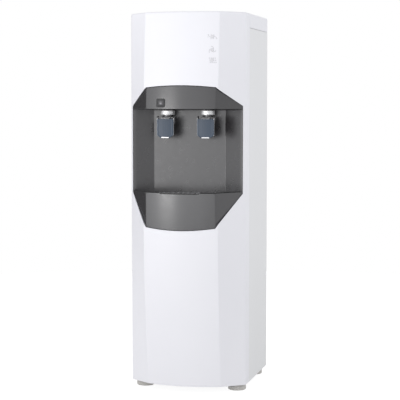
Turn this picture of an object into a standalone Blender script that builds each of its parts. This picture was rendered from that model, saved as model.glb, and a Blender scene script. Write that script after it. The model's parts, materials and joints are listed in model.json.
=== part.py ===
"""Floor-standing hot and cold water dispenser, in metres, +Z up, front towards -Y, origin on the floor."""

import math

import bmesh
import bpy
from mathutils import Matrix, Vector

# Driving dimensions of the cabinet
WIDTH = 0.342
DEPTH = 0.4144
HEIGHT = 1.085
HALF = WIDTH / 2
REAR = DEPTH / 2
BASE = 0.020  # underside of the cabinet above the floor
SEAM_Y = -0.058  # where the front cover's side returns meet the side panels
LID_Z = 1.0432  # where the top cover's skirt meets the side panels

# The front: a convex centre panel between two facets, bowed from top to bottom
CORNER_Y = -0.100
PANEL_HALF = 0.108
FACET_DEPTH = 0.091
BULGE = 0.019
BOW = 0.125
BOW_Z = 0.614
CORNER_R = 0.018
EDGE_R = 0.006
REAR_R = 0.010

# The bay's octagonal opening
BAY_TOP = 0.873
BAY_ARCH = 0.0056
BAY_FLAT_HALF = 0.1012
BAY_SIDE = 0.1628
BAY_SIDE_TOP = 0.8207
BAY_SIDE_LOW = 0.572
BAY_LOW = 0.478
BAY_SAG = 0.0075
BROW_LOW = 0.8120
APRON_TOP = 0.5767
RECESS = 0.0035  # the bay's front faces lie this far behind the cover's
BACK_Y = -0.0853
BACK_HALF = 0.1062
WING_Y = -0.1100

# Drip tray, grille and apron
TRAY_LOW = 0.5376
TRAY_TOP = 0.5745
TRAY_HALF_LOW = 0.1340
TRAY_HALF_TOP = 0.1500
BASIN_LOW = 0.5396
BASIN_TOP = 0.5700
POCKET_LOW = 0.5682
GRILLE_LOW = 0.5685
GRILLE_TOP = 0.5713
GRILLE_HALF = 0.1482
GRILLE_SLOTS = 15
GRILLE_PITCH = 0.0145
SLOT_HALF = 0.003
NOTCH_HALF = 0.052
NOTCH_DEPTH = 0.0025

# Materials' thicknesses and clearances
PLASTIC = 0.0025
SHEET = 0.0012
GAP = 0.0003
SEAM = 0.0008

# Taps
TAP_X = 0.0593
TAP_Y = -0.1058
SHANK_Z = 0.775
PIVOT_Y = -0.1218
PIVOT_Z = 0.787
PIN_R = 0.0015
PLUNGER_Z = 0.772
SHANK_LENGTH = 0.0263
FLANGE = 0.0031
LEVER_HALF = 0.0250
LEVER_FOOT_HALF = 0.0115
LEVER_LOW = 0.7290
LEVER_SHOULDER = 0.7385
LEVER_TOP = 0.7925
FRAME_TOP = 0.7850
LEVER_FRONT = -0.1348
LEVER_PLATE_BACK = -0.1308
LEVER_CHEEK = 0.0025
PADDLE_FRONT = -0.1338
PADDLE_BACK = -0.1313
PADDLE_HALF = 0.0222

# Lock button and lamps
LOCK_X = -0.0553
LOCK_Z = 0.8296
LOCK_HALF_X = 0.0128
LOCK_HALF_Z = 0.0113
LAMP_X = 0.0895
LAMP_ZS = (1.0135, 0.9770, 0.9480)
LAMP_R = 0.0045

# Inside
INNER_X = HALF - SHEET - GAP
REAR_PANEL_Y = 0.176
LOWER_SHELF_Z = 0.455
UPPER_SHELF_Z = 0.742
TANK_Y = 0.0735
COLD_R = 0.080
COLD_LOW = 0.786
COLD_HIGH = 0.985
HOT_R = 0.070
HOT_Y = 0.080
FLOAT_PIVOT = Vector((0.045, TANK_Y, 0.968))
FLOAT_REST = math.radians(-25)
FILTER_XS = (-0.070, 0.0, 0.070)
FILTER_Y = -0.105
FILTER_LOW = 0.130
FILTER_HIGH = 0.3947

COMPRESSOR_X = 0.020
COMPRESSOR_Y = 0.095
CONDENSER_Y = 0.192

# Back and base
INLET_X = -0.110
POWER_INLET_Z = 0.090
WATER_INLET_Z = 0.150
SWITCH_XS = {"hot_switch": 0.098, "cold_switch": 0.122}
SWITCH_Z = 0.700
DRAIN_X = 0.10
DRAIN_Z = 0.10
FOOT_X = 0.138
FOOT_YS = (-0.069, 0.165)


# ---------------------------------------------------------------- tools


def clear_scene():
    for obj in list(bpy.data.objects):
        bpy.data.objects.remove(obj, do_unlink=True)


def material(name, colour, roughness, metallic=0.0, transmission=0.0):
    made = bpy.data.materials.get(name)
    if made:
        return made
    made = bpy.data.materials.new(name)
    made.use_nodes = True
    made.diffuse_color = (*colour, 1.0)
    shader = made.node_tree.nodes["Principled BSDF"]
    shader.inputs["Base Color"].default_value = (*colour, 1.0)
    shader.inputs["Roughness"].default_value = roughness
    shader.inputs["Metallic"].default_value = metallic
    shader.inputs["Transmission Weight"].default_value = transmission
    return made


def white():
    return material("white_plastic", (0.86, 0.86, 0.89), 0.35)


def white_steel():
    return material("white_painted_steel", (0.80, 0.80, 0.82), 0.40)


def dark():
    return material("dark_grey_plastic", (0.20, 0.19, 0.20), 0.42)


def chrome():
    return material("chrome", (0.80, 0.80, 0.80), 0.08, 1.0)


def smoked():
    return material("smoked_plastic", (0.16, 0.19, 0.22), 0.15, 0.0, 0.4)


def steel():
    return material("stainless_steel", (0.62, 0.62, 0.63), 0.30, 1.0)


def galvanised():
    return material("galvanised_steel", (0.55, 0.56, 0.57), 0.45, 1.0)


def black_metal():
    return material("black_painted_metal", (0.02, 0.02, 0.02), 0.45)


def foam():
    return material("white_foam", (0.90, 0.90, 0.88), 0.90)


def copper():
    return material("copper", (0.75, 0.38, 0.23), 0.30, 1.0)


def black_plastic():
    return material("black_plastic", (0.03, 0.03, 0.03), 0.50)


def blue_plastic():
    return material("filter_blue", (0.10, 0.25, 0.55), 0.35)


def lens_plastic():
    return material("lamp_lens", (0.80, 0.78, 0.80), 0.20)


def board_green():
    return material("board_green", (0.05, 0.25, 0.10), 0.45)


def tube_silicone():
    return material("silicone_tube", (0.78, 0.80, 0.80), 0.45)


def foot_plastic():
    return material("foot_grey_plastic", (0.55, 0.53, 0.50), 0.60)


def add(name, mesh, finish, smooth_angle=None):
    """A new object from a bmesh, with its normals outwards."""
    bmesh.ops.recalc_face_normals(mesh, faces=mesh.faces)
    data = bpy.data.meshes.new(name)
    mesh.to_mesh(data)
    mesh.free()
    if smooth_angle is not None:
        data.shade_smooth()
        data.set_sharp_from_angle(angle=math.radians(smooth_angle))
    obj = bpy.data.objects.new(name, data)
    bpy.context.scene.collection.objects.link(obj)
    if finish:
        data.materials.append(finish)
    return obj


def guide(name, mesh):
    """A shape that only a Boolean uses."""
    obj = add(name, mesh, None)
    obj.hide_render = True
    obj.display_type = "WIRE"
    return obj


def combine(obj, other, operation):
    modifier = obj.modifiers.new(other.name, "BOOLEAN")
    modifier.operation = operation
    modifier.solver = "EXACT"
    modifier.object = other
    return obj


def cut(obj, other):
    return combine(obj, other, "DIFFERENCE")


def join(obj, other):
    return combine(obj, other, "UNION")


def keep_common(obj, other):
    return combine(obj, other, "INTERSECT")


def loft(rings, closed_path=False):
    """A closed solid through rings of equally many points, with its ends capped unless the path is closed."""
    mesh = bmesh.new()
    rows = [[mesh.verts.new(point) for point in ring] for ring in rings]
    pairs = list(zip(rows, rows[1:]))
    if closed_path:
        pairs.append((rows[-1], rows[0]))
    for low, high in pairs:
        for i in range(len(low)):
            j = (i + 1) % len(low)
            mesh.faces.new((low[i], low[j], high[j], high[i]))
    if not closed_path:
        mesh.faces.new(rows[0][::-1])
        mesh.faces.new(rows[-1])
    bmesh.ops.triangulate(mesh, faces=mesh.faces)
    return mesh


def prism_z(outline, low, high):
    return loft([[(x, y, z) for x, y in outline] for z in (low, high)])


def prism_y(outline, near, far):
    return loft([[(x, y, z) for x, z in outline] for y in (near, far)])


def prism_x(outline, left, right):
    return loft([[(x, y, z) for y, z in outline] for x in (left, right)])


def block(low, high):
    outline = [(low[0], low[1]), (high[0], low[1]), (high[0], high[1]), (low[0], high[1])]
    return prism_z(outline, low[2], high[2])


def circle(radius, sides, centre=(0.0, 0.0)):
    turns = [2 * math.pi * (i + 0.5) / sides for i in range(sides)]
    return [(centre[0] + radius * math.cos(t), centre[1] + radius * math.sin(t)) for t in turns]


def rounded_box(half_x, half_y, radius, steps, centre=(0.0, 0.0)):
    """The outline of a rectangle with round corners."""
    points = []
    for quarter, (sx, sy) in enumerate(((1, 1), (-1, 1), (-1, -1), (1, -1))):
        for step in range(steps + 1):
            turn = math.pi / 2 * (quarter + step / steps)
            x = sx * (half_x - radius) + radius * math.cos(turn)
            y = sy * (half_y - radius) + radius * math.sin(turn)
            points.append((centre[0] + x, centre[1] + y))
    return points


def turned(profile, sides, closed_path=False):
    """A solid turned about Z from (radius, height) points."""
    return loft([[(x, y, z) for x, y in circle(r, sides)] for r, z in profile], closed_path)


def moved(mesh, location, turn=None):
    """The same mesh turned, then moved."""
    bmesh.ops.transform(mesh, matrix=Matrix.Translation(location) @ (turn or Matrix()), verts=mesh.verts)
    return mesh


def along_y(mesh, location):
    """A mesh made about Z, laid along +Y with its base at the given place."""
    return moved(mesh, location, Matrix.Rotation(math.radians(-90), 4, "X"))


def along_x(mesh, location):
    """A mesh made about Z, laid along +X with its base at the given place."""
    return moved(mesh, location, Matrix.Rotation(math.radians(90), 4, "Y"))


def offset(points, distance, closed=False):
    """A line of (x, y) points moved to its left by a distance, with mitred corners."""
    count = len(points)
    normals = []
    for i in range(count if closed else count - 1):
        (ax, ay), (bx, by) = points[i], points[(i + 1) % count]
        length = math.hypot(bx - ax, by - ay)
        normals.append(((ay - by) / length, (bx - ax) / length))
    moved_points = []
    for i, (x, y) in enumerate(points):
        before = normals[i - 1] if closed or i > 0 else normals[0]
        after = normals[i] if i < len(normals) else normals[-1]
        share = distance / (1 + before[0] * after[0] + before[1] * after[1])
        moved_points.append((x + (before[0] + after[0]) * share, y + (before[1] + after[1]) * share))
    return moved_points


def ribbon(points, thickness):
    """The closed outline of a line of points thickened to its left."""
    return points + offset(points, thickness)[::-1]


def clip(points, half):
    """The stretch of a left-to-right line between x = -half and x = half."""
    kept = []
    for (ax, ay), (bx, by) in zip(points, points[1:]):
        for edge in (-half, half):
            if ax < edge < bx:
                kept.append((edge, ay + (by - ay) * (edge - ax) / (bx - ax)))
        if -half <= bx <= half:
            kept.append((bx, by))
    return kept


def fillet(before, corner, after, radius, steps):
    """Points of the arc that rounds a corner."""
    to_before = (Vector(before) - Vector(corner)).normalized()
    to_after = (Vector(after) - Vector(corner)).normalized()
    half_angle = to_before.angle(to_after) / 2
    reach = radius / math.tan(half_angle)
    centre = Vector(corner) + (to_before + to_after).normalized() * radius / math.sin(half_angle)
    start = Vector(corner) + to_before * reach - centre
    end = Vector(corner) + to_after * reach - centre
    sweep = math.atan2(start.x * end.y - start.y * end.x, start.dot(end))
    points = []
    for step in range(steps + 1):
        turn = sweep * step / steps
        x = start.x * math.cos(turn) - start.y * math.sin(turn)
        y = start.x * math.sin(turn) + start.y * math.cos(turn)
        points.append((centre.x + x, centre.y + y))
    return points


def tube(name, points, radius, finish, bends=3):
    """A round tube along straight runs, whose corners are rounded by a few points each."""
    curve = bpy.data.curves.new(name, "CURVE")
    curve.dimensions = "3D"
    curve.bevel_depth = radius
    curve.bevel_resolution = 1
    curve.use_fill_caps = True
    path = [Vector(points[0])]
    for before, corner, after in zip(points, points[1:], points[2:]):
        path.extend(bend(Vector(before), Vector(corner), Vector(after), radius * 3, bends))
    path.append(Vector(points[-1]))
    spline = curve.splines.new("POLY")
    spline.points.add(len(path) - 1)
    for point, place in zip(spline.points, path):
        point.co = (*place, 1.0)
    curve.materials.append(finish)
    obj = bpy.data.objects.new(name, curve)
    bpy.context.scene.collection.objects.link(obj)
    return obj


def bend(before, corner, after, reach, steps):
    """Points of a smooth curve from one side of a corner to the other."""
    start = corner + (before - corner).normalized() * min(reach, (before - corner).length * 0.49)
    end = corner + (after - corner).normalized() * min(reach, (after - corner).length * 0.49)
    shares = [step / steps for step in range(steps + 1)]
    return [start * (1 - t) ** 2 + corner * 2 * t * (1 - t) + end * t**2 for t in shares]


def pivot(name, location):
    """An empty on a joint's axis."""
    empty = bpy.data.objects.new(name, None)
    empty.location = location
    empty.empty_display_size = 0.02
    bpy.context.scene.collection.objects.link(empty)
    return empty


def hang(piece, empty):
    """Parents a piece to an empty and leaves it where it is."""
    piece.parent = empty
    piece.matrix_parent_inverse = Matrix.Translation(-empty.location)
    return piece


# ---------------------------------------------------------------- the front's shape


def facet_depth(z):
    return FACET_DEPTH - BOW * (z - BOW_Z) ** 2


def panel_y(x, z):
    """The centre panel's face."""
    return CORNER_Y - facet_depth(z) - BULGE * (1 - (x / PANEL_HALF) ** 2)


def panel_slope(x):
    """How fast the centre panel's face falls back at a distance from the middle."""
    return 2 * BULGE * x / PANEL_HALF**2


def front_outline(z, inset=0.0, columns=10):
    """The cabinet's front in plan at a height, from the left side round to the right."""
    edge = (PANEL_HALF, CORNER_Y - facet_depth(z))
    corner = fillet((HALF, SEAM_Y), (HALF, CORNER_Y), edge, CORNER_R, 3)
    right = [(HALF, SEAM_Y)] + corner
    xs = [PANEL_HALF * (2 * i / columns - 1) for i in range(columns + 1)]
    left = [(-x, y) for x, y in right]
    return offset(left + [(x, panel_y(x, z)) for x in xs] + right[::-1], inset)


def insert_outline(z, inset=0.0, columns=8):
    """The bay's front faces in plan at a height, from left to right."""
    outer_share = (HALF - BAY_SIDE + 2 * SEAM) / (HALF - PANEL_HALF)
    outer = (BAY_SIDE - SEAM, CORNER_Y - facet_depth(z) * outer_share + RECESS / 2)
    xs = [BAY_FLAT_HALF * (2 * i / columns - 1) for i in range(columns + 1)]
    panel = [(x, panel_y(x, z) + RECESS) for x in xs]
    return offset([(-outer[0], outer[1])] + panel + [outer], inset)


def back_line(inset=0.0):
    """The bay's back panel and wings in plan, from left to right."""
    end = BAY_SIDE - 2 * SEAM
    line = [(-end, WING_Y), (-BACK_HALF, BACK_Y), (BACK_HALF, BACK_Y), (end, WING_Y)]
    return offset(line, inset)


def bay_outline(inset=0.0, columns=8):
    """The octagonal opening in (x, z), with its arched top and bottom edges."""
    shares = [2 * i / columns - 1 for i in range(columns + 1)]
    bottom = [(BAY_FLAT_HALF * s, BAY_LOW - BAY_SAG * (1 - s * s)) for s in shares]
    top = [(-BAY_FLAT_HALF * s, BAY_TOP + BAY_ARCH * (1 - s * s)) for s in shares]
    right = [(BAY_SIDE, BAY_SIDE_LOW), (BAY_SIDE, BAY_SIDE_TOP)]
    left = [(-x, z) for x, z in right[::-1]]
    return offset(bottom + right + top + left, inset, closed=True)


def bow_rows(low, high, count):
    return [low + (high - low) * i / count for i in range(count + 1)]


# ---------------------------------------------------------------- casing


def front_cover():
    rows = [(z, 0.0) for z in bow_rows(BASE, HEIGHT - EDGE_R, 9)]
    for step in (1, 2, 3):
        turn = math.pi / 2 * step / 3
        rows.append((HEIGHT - EDGE_R * (1 - math.sin(turn)), EDGE_R * (1 - math.cos(turn))))
    outer = [[(x, y, z) for x, y in front_outline(z, inset)] for z, inset in rows]
    cover = add("front_cover", loft(outer), white(), 30)
    inner = []
    for z in bow_rows(BASE - PLASTIC, HEIGHT - PLASTIC, 9):
        line = front_outline(z, PLASTIC)
        line = [(line[0][0], SEAM_Y + PLASTIC)] + line[1:-1] + [(line[-1][0], SEAM_Y + PLASTIC)]
        inner.append([(x, y, z) for x, y in line])
    cut(cover, guide("front_cover_hollow", loft(inner)))
    cut(cover, guide("bay_opening", prism_y(bay_outline(), -REAR - 0.02, CORNER_Y + 0.03)))
    for index, z in enumerate(LAMP_ZS):
        cut(cover, guide(f"lamp_hole_{index + 1}", lamp_cylinder(z, LAMP_R + GAP, 0.008)))
    return cover


def lamp_cylinder(z, radius, half_length):
    """A cylinder square to the centre panel's face at a lamp."""
    body = turned([(radius, -half_length), (radius, half_length)], 16)
    aside = Matrix.Rotation(math.atan(panel_slope(LAMP_X)), 4, "Z")
    forward = Matrix.Rotation(math.radians(-90), 4, "X")
    return moved(body, (LAMP_X, panel_y(LAMP_X, z), z), aside @ forward)


def side_sheet(side):
    """A side panel in plan: a front return, the side, a round rear corner and a rear flange."""
    x = side * HALF
    front = (side * (HALF - 0.010), SEAM_Y + SEAM)
    rear = (side * (HALF - 0.016), REAR)
    rounding = fillet((x, SEAM_Y), (x, REAR), rear, REAR_R, 4)
    line = [front, (x, SEAM_Y + SEAM)] + rounding + [rear]
    return ribbon(line, side * SHEET)


def side_panel(side, name):
    outline = side_sheet(side)
    return add(name, prism_z(outline, BASE, LID_Z - SEAM), white_steel(), 30)


def top_cover():
    plan = [(-HALF, SEAM_Y + SEAM), (HALF, SEAM_Y + SEAM)]
    plan += fillet((HALF, SEAM_Y), (HALF, REAR), (-HALF, REAR), REAR_R, 4)
    plan += fillet((HALF, REAR), (-HALF, REAR), (-HALF, SEAM_Y), REAR_R, 4)
    rings = [(LID_Z, 0.0), (HEIGHT - EDGE_R, 0.0)]
    for step in (1, 2, 3):
        turn = math.pi / 2 * step / 3
        rings.append((HEIGHT - EDGE_R * (1 - math.sin(turn)), EDGE_R * (1 - math.cos(turn))))
    outer = []
    for z, inset in rings:
        ring = offset(plan, inset, closed=True)
        outer.append([(x, max(y, SEAM_Y + SEAM), z) for x, y in ring])
    cover = add("top_cover", loft(outer), white(), 30)
    hollow = prism_z(offset(plan, PLASTIC, closed=True), LID_Z - PLASTIC, HEIGHT - PLASTIC)
    return cut(cover, guide("top_cover_hollow", hollow))


def base_plate():
    front = [(x, y) for x, y in front_outline(BASE, PLASTIC + 2 * GAP) if y < SEAM_Y]
    rear = REAR - SHEET - 2 * GAP - REAR_R
    wide = HALF - 0.0115
    plan = [(-wide, rear), (-wide, SEAM_Y)] + front + [(wide, SEAM_Y), (wide, rear)]
    plate = add("base_plate", prism_z(plan, BASE + 0.002, BASE + 0.024), galvanised(), 30)
    hollow = prism_z(offset(plan, 0.0015, closed=True), BASE + 0.0038, BASE + 0.05)
    cut(plate, guide("base_plate_hollow", hollow))
    for name, x, y in foot_places():
        cut(plate, guide(f"{name}_hole", moved(turned([(0.0052, 0.0), (0.0052, 0.05)], 12), (x, y, 0.0))))
    return plate


def rear_panel():
    low = (-INNER_X + GAP, REAR_PANEL_Y, BASE + 0.0243)
    high = (INNER_X - GAP, REAR_PANEL_Y + SHEET, LID_Z - 0.004)
    panel = block(low, high)
    obj = add("rear_panel", panel, galvanised())
    for row in range(7):
        z = 0.110 + row * 0.022
        slot = block((-0.060, REAR_PANEL_Y - 0.01, z), (0.060, REAR_PANEL_Y + 0.01, z + 0.008))
        cut(obj, guide(f"vent_slot_{row + 1}", slot))
    housing = rounded_box(0.0282, 0.0182, 0.003, 2, (switch_middle(), SWITCH_Z))
    cut(obj, guide("switch_housing_hole", prism_y(housing, REAR_PANEL_Y - 0.01, REAR_PANEL_Y + 0.01)))
    inlet = rounded_box(0.0142, 0.0102, 0.002, 2, (INLET_X, POWER_INLET_Z))
    cut(obj, guide("power_inlet_hole", prism_y(inlet, REAR_PANEL_Y - 0.01, REAR_PANEL_Y + 0.01)))
    for name, x, z in (("water_inlet", INLET_X, WATER_INLET_Z), ("drain", DRAIN_X, DRAIN_Z)):
        hole = prism_y(circle(0.0063, 16, (x, z)), REAR_PANEL_Y - 0.01, REAR_PANEL_Y + 0.01)
        cut(obj, guide(f"{name}_hole", hole))
    return obj


# ---------------------------------------------------------------- dispensing bay


def bay_housing():
    rows = [BROW_LOW, (BROW_LOW + BAY_TOP) / 2, BAY_TOP + 2 * BAY_ARCH]
    rings = [[(x, y, z) for x, y in ribbon(insert_outline(z), PLASTIC)] for z in rows]
    housing = add("bay_housing", loft(rings), dark(), 30)
    back = prism_z(ribbon(back_line(), PLASTIC), BAY_SIDE_LOW - 0.039, BROW_LOW + PLASTIC)
    ceiling = insert_outline(BROW_LOW, PLASTIC / 2) + back_line(PLASTIC / 2)[::-1]
    join(housing, guide("bay_ceiling", prism_z(ceiling, BROW_LOW + 0.001, BROW_LOW + 0.0035)))
    join(housing, guide("bay_back", back))
    floor = block((-0.098, -0.165, 0.5345), (0.098, BACK_Y + PLASTIC / 2, 0.5370))
    join(housing, guide("bay_floor", floor))
    keep_common(housing, guide("bay_trim", prism_y(bay_outline(SEAM), -REAR - 0.02, REAR)))
    hole = rounded_box(LOCK_HALF_X + GAP, LOCK_HALF_Z + GAP, 0.004, 2, (LOCK_X, LOCK_Z))
    cut(housing, guide("lock_hole", prism_y(hole, -REAR - 0.01, -0.180)))
    for side, name in ((-1, "hot"), (1, "cold")):
        hole = prism_y(circle(0.0082, 16, (side * TAP_X, SHANK_Z)), BACK_Y - 0.01, BACK_Y + 0.01)
        cut(housing, guide(f"{name}_shank_hole", hole))
    return housing


def hot_lock_button():
    slope = panel_slope(LOCK_X)
    front = panel_y(LOCK_X, LOCK_Z) + RECESS
    corners = rounded_box(LOCK_HALF_X, LOCK_HALF_Z, 0.004, 2, (LOCK_X, LOCK_Z))
    rings = []
    for depth, inset in ((-0.0012, 0.0010), (-0.0006, 0.0), (0.0080, 0.0)):
        ring = offset(corners, inset, closed=True)
        rings.append([(x, front + depth + slope * (x - LOCK_X), z) for x, z in ring])
    button = add("hot_lock_button", loft(rings), dark(), 30)
    return hang(button, pivot("hot_lock_slide", (LOCK_X, front, LOCK_Z)))


def tray_plan(z, front_inset, back_inset, half):
    """The drip tray's outline in plan, ended straight at each side."""
    front = clip(insert_outline(z, front_inset), half)
    back = clip(back_line(-back_inset), half)
    return front + back[::-1]


def tray_solid(levels):
    """A solid through (height, front inset, back inset, half width) levels of the drip tray."""
    return loft([[(x, y, level[0]) for x, y in tray_plan(*level)] for level in levels])


def drip_tray(slide):
    wall = PLASTIC + 2 * GAP
    shell = [(TRAY_LOW, wall, 0.0010, TRAY_HALF_LOW), (TRAY_TOP, wall, 0.0010, TRAY_HALF_TOP)]
    tray = add("drip_tray", tray_solid(shell), dark())
    basin = [(BASIN_LOW, wall + 0.005, 0.0055, TRAY_HALF_LOW - 0.004)]
    basin += [(BASIN_TOP, wall + 0.005, 0.0055, TRAY_HALF_TOP - 0.005)]
    ledge = wall + 0.0015
    pocket = tray_solid([(z, ledge, 0.0025, GRILLE_HALF + GAP) for z in (POCKET_LOW, TRAY_TOP + 0.0115)])
    cut(tray, guide("drip_tray_basin", tray_solid(basin)))
    cut(tray, guide("drip_tray_pocket", pocket))
    return hang(tray, slide)


def drip_tray_front(slide):
    rows = bow_rows(BAY_LOW - 2 * BAY_SAG, APRON_TOP, 3)
    rings = [[(x, y, z) for x, y in ribbon(insert_outline(z), PLASTIC)] for z in rows]
    front = add("drip_tray_front", loft(rings), dark(), 30)
    keep_common(front, guide("apron_trim", prism_y(bay_outline(SEAM), -REAR - 0.02, REAR)))
    low, wide = APRON_TOP - NOTCH_DEPTH, NOTCH_HALF + 0.006
    notch = [(-NOTCH_HALF, low), (NOTCH_HALF, low), (wide, APRON_TOP + 0.001), (-wide, APRON_TOP + 0.001)]
    cut(front, guide("finger_notch", prism_y(notch, -REAR - 0.02, -0.19)))
    return hang(front, slide)


def drip_grille():
    front = PLASTIC + 2 * GAP + 0.0015 + GAP
    levels = [(z, front, 0.0028, GRILLE_HALF) for z in (GRILLE_LOW, GRILLE_TOP)]
    grille = add("drip_grille", tray_solid(levels), steel())
    for index in range(GRILLE_SLOTS):
        x = (index - (GRILLE_SLOTS - 1) / 2) * GRILLE_PITCH
        reach = -0.178 + 0.012 * (x / BAY_FLAT_HALF) ** 2
        slot = block((x - SLOT_HALF, reach, GRILLE_LOW - 0.01), (x + SLOT_HALF, -0.100, GRILLE_TOP + 0.01))
        cut(grille, guide(f"grille_slot_{index + 1}", slot))
    lift = pivot("drip_grille_lift", (0.0, -0.14, 0.570))
    return hang(grille, lift)


# ---------------------------------------------------------------- lamps and boards


def lamp_lens(name, z):
    return add(name, lamp_cylinder(z, LAMP_R, 0.0028), lens_plastic(), 30)


def lamp_board():
    return add("lamp_board", block((0.055, -0.1605, 0.925), (0.100, -0.1590, 1.030)), board_green())


def control_box():
    box = moved(prism_z(rounded_box(0.045, 0.030, 0.004, 2), 0.0, 0.130), (-0.105, 0.010, 0.045))
    return add("control_box", box, white(), 30)


# ---------------------------------------------------------------- taps


def tap_body(name, x):
    profile = [(0.0075, 0.760), (0.0115, 0.760), (0.013, 0.7625), (0.013, 0.7946), (0.0075, 0.7946)]
    body = add(name, moved(turned(profile, 20, True), (x, TAP_Y, 0.0)), chrome(), 30)
    shank = [(0.0160, 0.0), (0.0160, FLANGE - GAP), (0.0075, FLANGE), (0.0075, SHANK_LENGTH)]
    flange = along_y(turned(shank, 16), (x, BACK_Y - FLANGE - GAP, SHANK_Z))
    neck = along_y(turned([(0.0072, 0.0), (0.0072, 0.009)], 16), (x, TAP_Y + 0.0100, SHANK_Z))
    lug = block((x - 0.013, PIVOT_Y - 0.003, PIVOT_Z - 0.0045), (x + 0.013, TAP_Y - 0.0085, PIVOT_Z + 0.0045))
    join(body, guide(f"{name}_flange", flange))
    join(body, guide(f"{name}_neck", neck))
    join(body, guide(f"{name}_lug", lug))
    pin = along_x(turned([(PIN_R + GAP, -0.02), (PIN_R + GAP, 0.02)], 12), (x, PIVOT_Y, PIVOT_Z))
    bore = along_y(turned([(0.0034, 0.0), (0.0034, 0.016)], 12), (x, TAP_Y - 0.018, PLUNGER_Z))
    cut(body, guide(f"{name}_pin_hole", pin))
    return cut(body, guide(f"{name}_plunger_hole", bore))


def tap_cap(name, x):
    profile = [(0.0185, 0.7949), (0.0200, 0.7961), (0.0200, 0.8068), (0.0185, 0.8094), (0.0135, 0.8111)]
    return add(name, moved(turned(profile, 24), (x, TAP_Y, 0.0)), chrome(), 30)


def tap_spout(name, x):
    profile = [(0.0060, 0.7425), (0.0085, 0.7425), (0.0095, 0.7450), (0.0105, 0.7597), (0.0060, 0.7597)]
    return add(name, moved(turned(profile, 16, True), (x, TAP_Y, 0.0)), black_plastic(), 30)


def lever_outline(x, top, inset=0.0):
    """The lever's outline in (x, z) up to a height, with its two lower corners cut off."""
    low = [(-LEVER_FOOT_HALF, LEVER_LOW), (LEVER_FOOT_HALF, LEVER_LOW), (LEVER_HALF, LEVER_SHOULDER)]
    high = [(LEVER_HALF, top), (-LEVER_HALF, top), (-LEVER_HALF, LEVER_SHOULDER)]
    return [(x + u, z) for u, z in offset(low + high, inset, closed=True)]


def tap_lever(name, x, hinge):
    lever = add(name, prism_y(lever_outline(x, LEVER_TOP), LEVER_FRONT, -0.1185), chrome(), 30)
    under = [(-0.1298, 0.72), (-0.1063, 0.72), (-0.1063, 0.7875), (-0.1298, 0.7760)]
    cut(lever, guide(f"{name}_underside", prism_x(under, x - 0.03, x + 0.03)))
    slant = [(-0.1363, 0.7817), (-0.1293, 0.7958), (-0.1363, 0.7958)]
    cut(lever, guide(f"{name}_slant", prism_x(slant, x - 0.03, x + 0.03)))
    inner = LEVER_HALF - LEVER_CHEEK
    channel = block((x - inner, LEVER_PLATE_BACK, 0.70), (x + inner, -0.10, 0.7995))
    cut(lever, guide(f"{name}_channel", channel))
    cut(lever, guide(f"{name}_gap", block((x - inner, -0.14, 0.7845), (x + inner, -0.1213, 0.81))))
    cut(lever, guide(f"{name}_window", prism_y(lever_outline(x, FRAME_TOP, LEVER_CHEEK), -0.15, -0.1213)))
    pin = along_x(turned([(PIN_R + GAP, -0.03), (PIN_R + GAP, 0.03)], 12), (x, PIVOT_Y, PIVOT_Z))
    cut(lever, guide(f"{name}_pin_hole", pin))
    return hang(lever, hinge)


def tap_paddle(name, x, hinge):
    shares = [2 * i / 8 - 1 for i in range(9)]
    plan = [(x + PADDLE_HALF * s, PADDLE_FRONT - 0.0045 * (1 - s * s)) for s in shares]
    plan += [(x + PADDLE_HALF, PADDLE_BACK), (x - PADDLE_HALF, PADDLE_BACK)]
    paddle = add(name, prism_z(plan, LEVER_LOW + 0.001, FRAME_TOP - 0.001), smoked(), 30)
    trim = prism_y(lever_outline(x, FRAME_TOP, LEVER_CHEEK + GAP), -0.15, -0.1213)
    return hang(keep_common(paddle, guide(f"{name}_trim", trim)), hinge)


def tap_pin(name, x):
    pin = along_x(turned([(PIN_R, -0.0262), (PIN_R, 0.0262)], 12), (x, PIVOT_Y, PIVOT_Z))
    return add(name, pin, steel(), 30)


def tap_plunger(name, x):
    end = (x, PADDLE_BACK + GAP, PLUNGER_Z)
    rod = along_y(turned([(0.0022, 0.0), (0.0030, 0.0008), (0.0030, 0.0212)], 12), end)
    return hang(add(name, rod, black_plastic(), 30), pivot(f"{name}_slide", end))


def tap(side, name):
    x = side * TAP_X
    hinge = pivot(f"{name}_tap_hinge", (x, PIVOT_Y, PIVOT_Z))
    tap_body(f"{name}_tap_body", x)
    tap_cap(f"{name}_tap_cap", x)
    tap_spout(f"{name}_tap_spout", x)
    tap_lever(f"{name}_tap_lever", x, hinge)
    tap_paddle(f"{name}_tap_paddle", x, hinge)
    tap_pin(f"{name}_tap_pin", x)
    tap_plunger(f"{name}_tap_plunger", x)


# ---------------------------------------------------------------- tanks, filters and cooling


def shelf(name, z, front_y):
    plate = block((-INNER_X + GAP, front_y, z), (INNER_X - GAP, REAR_PANEL_Y - GAP, z + 0.0015))
    obj = add(name, plate, galvanised())
    side = INNER_X - 0.002
    lip = block((-side, front_y + 0.0005, z - 0.012), (side, front_y + 0.002, z + 0.0008))
    return join(obj, guide(f"{name}_lip", lip))


def cold_tank_insulation():
    outline = rounded_box(0.120, 0.0985, 0.020, 3, (0.0, TANK_Y))
    low = UPPER_SHELF_Z + 0.0015 + GAP
    block_of_foam = add("cold_tank_insulation", prism_z(outline, low, 1.005), foam(), 30)
    hole = moved(turned([(0.0915, COLD_LOW - 0.0035), (0.0915, 1.01)], 24), (0.0, TANK_Y, 0.0))
    return cut(block_of_foam, guide("insulation_hollow", hole))


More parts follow.
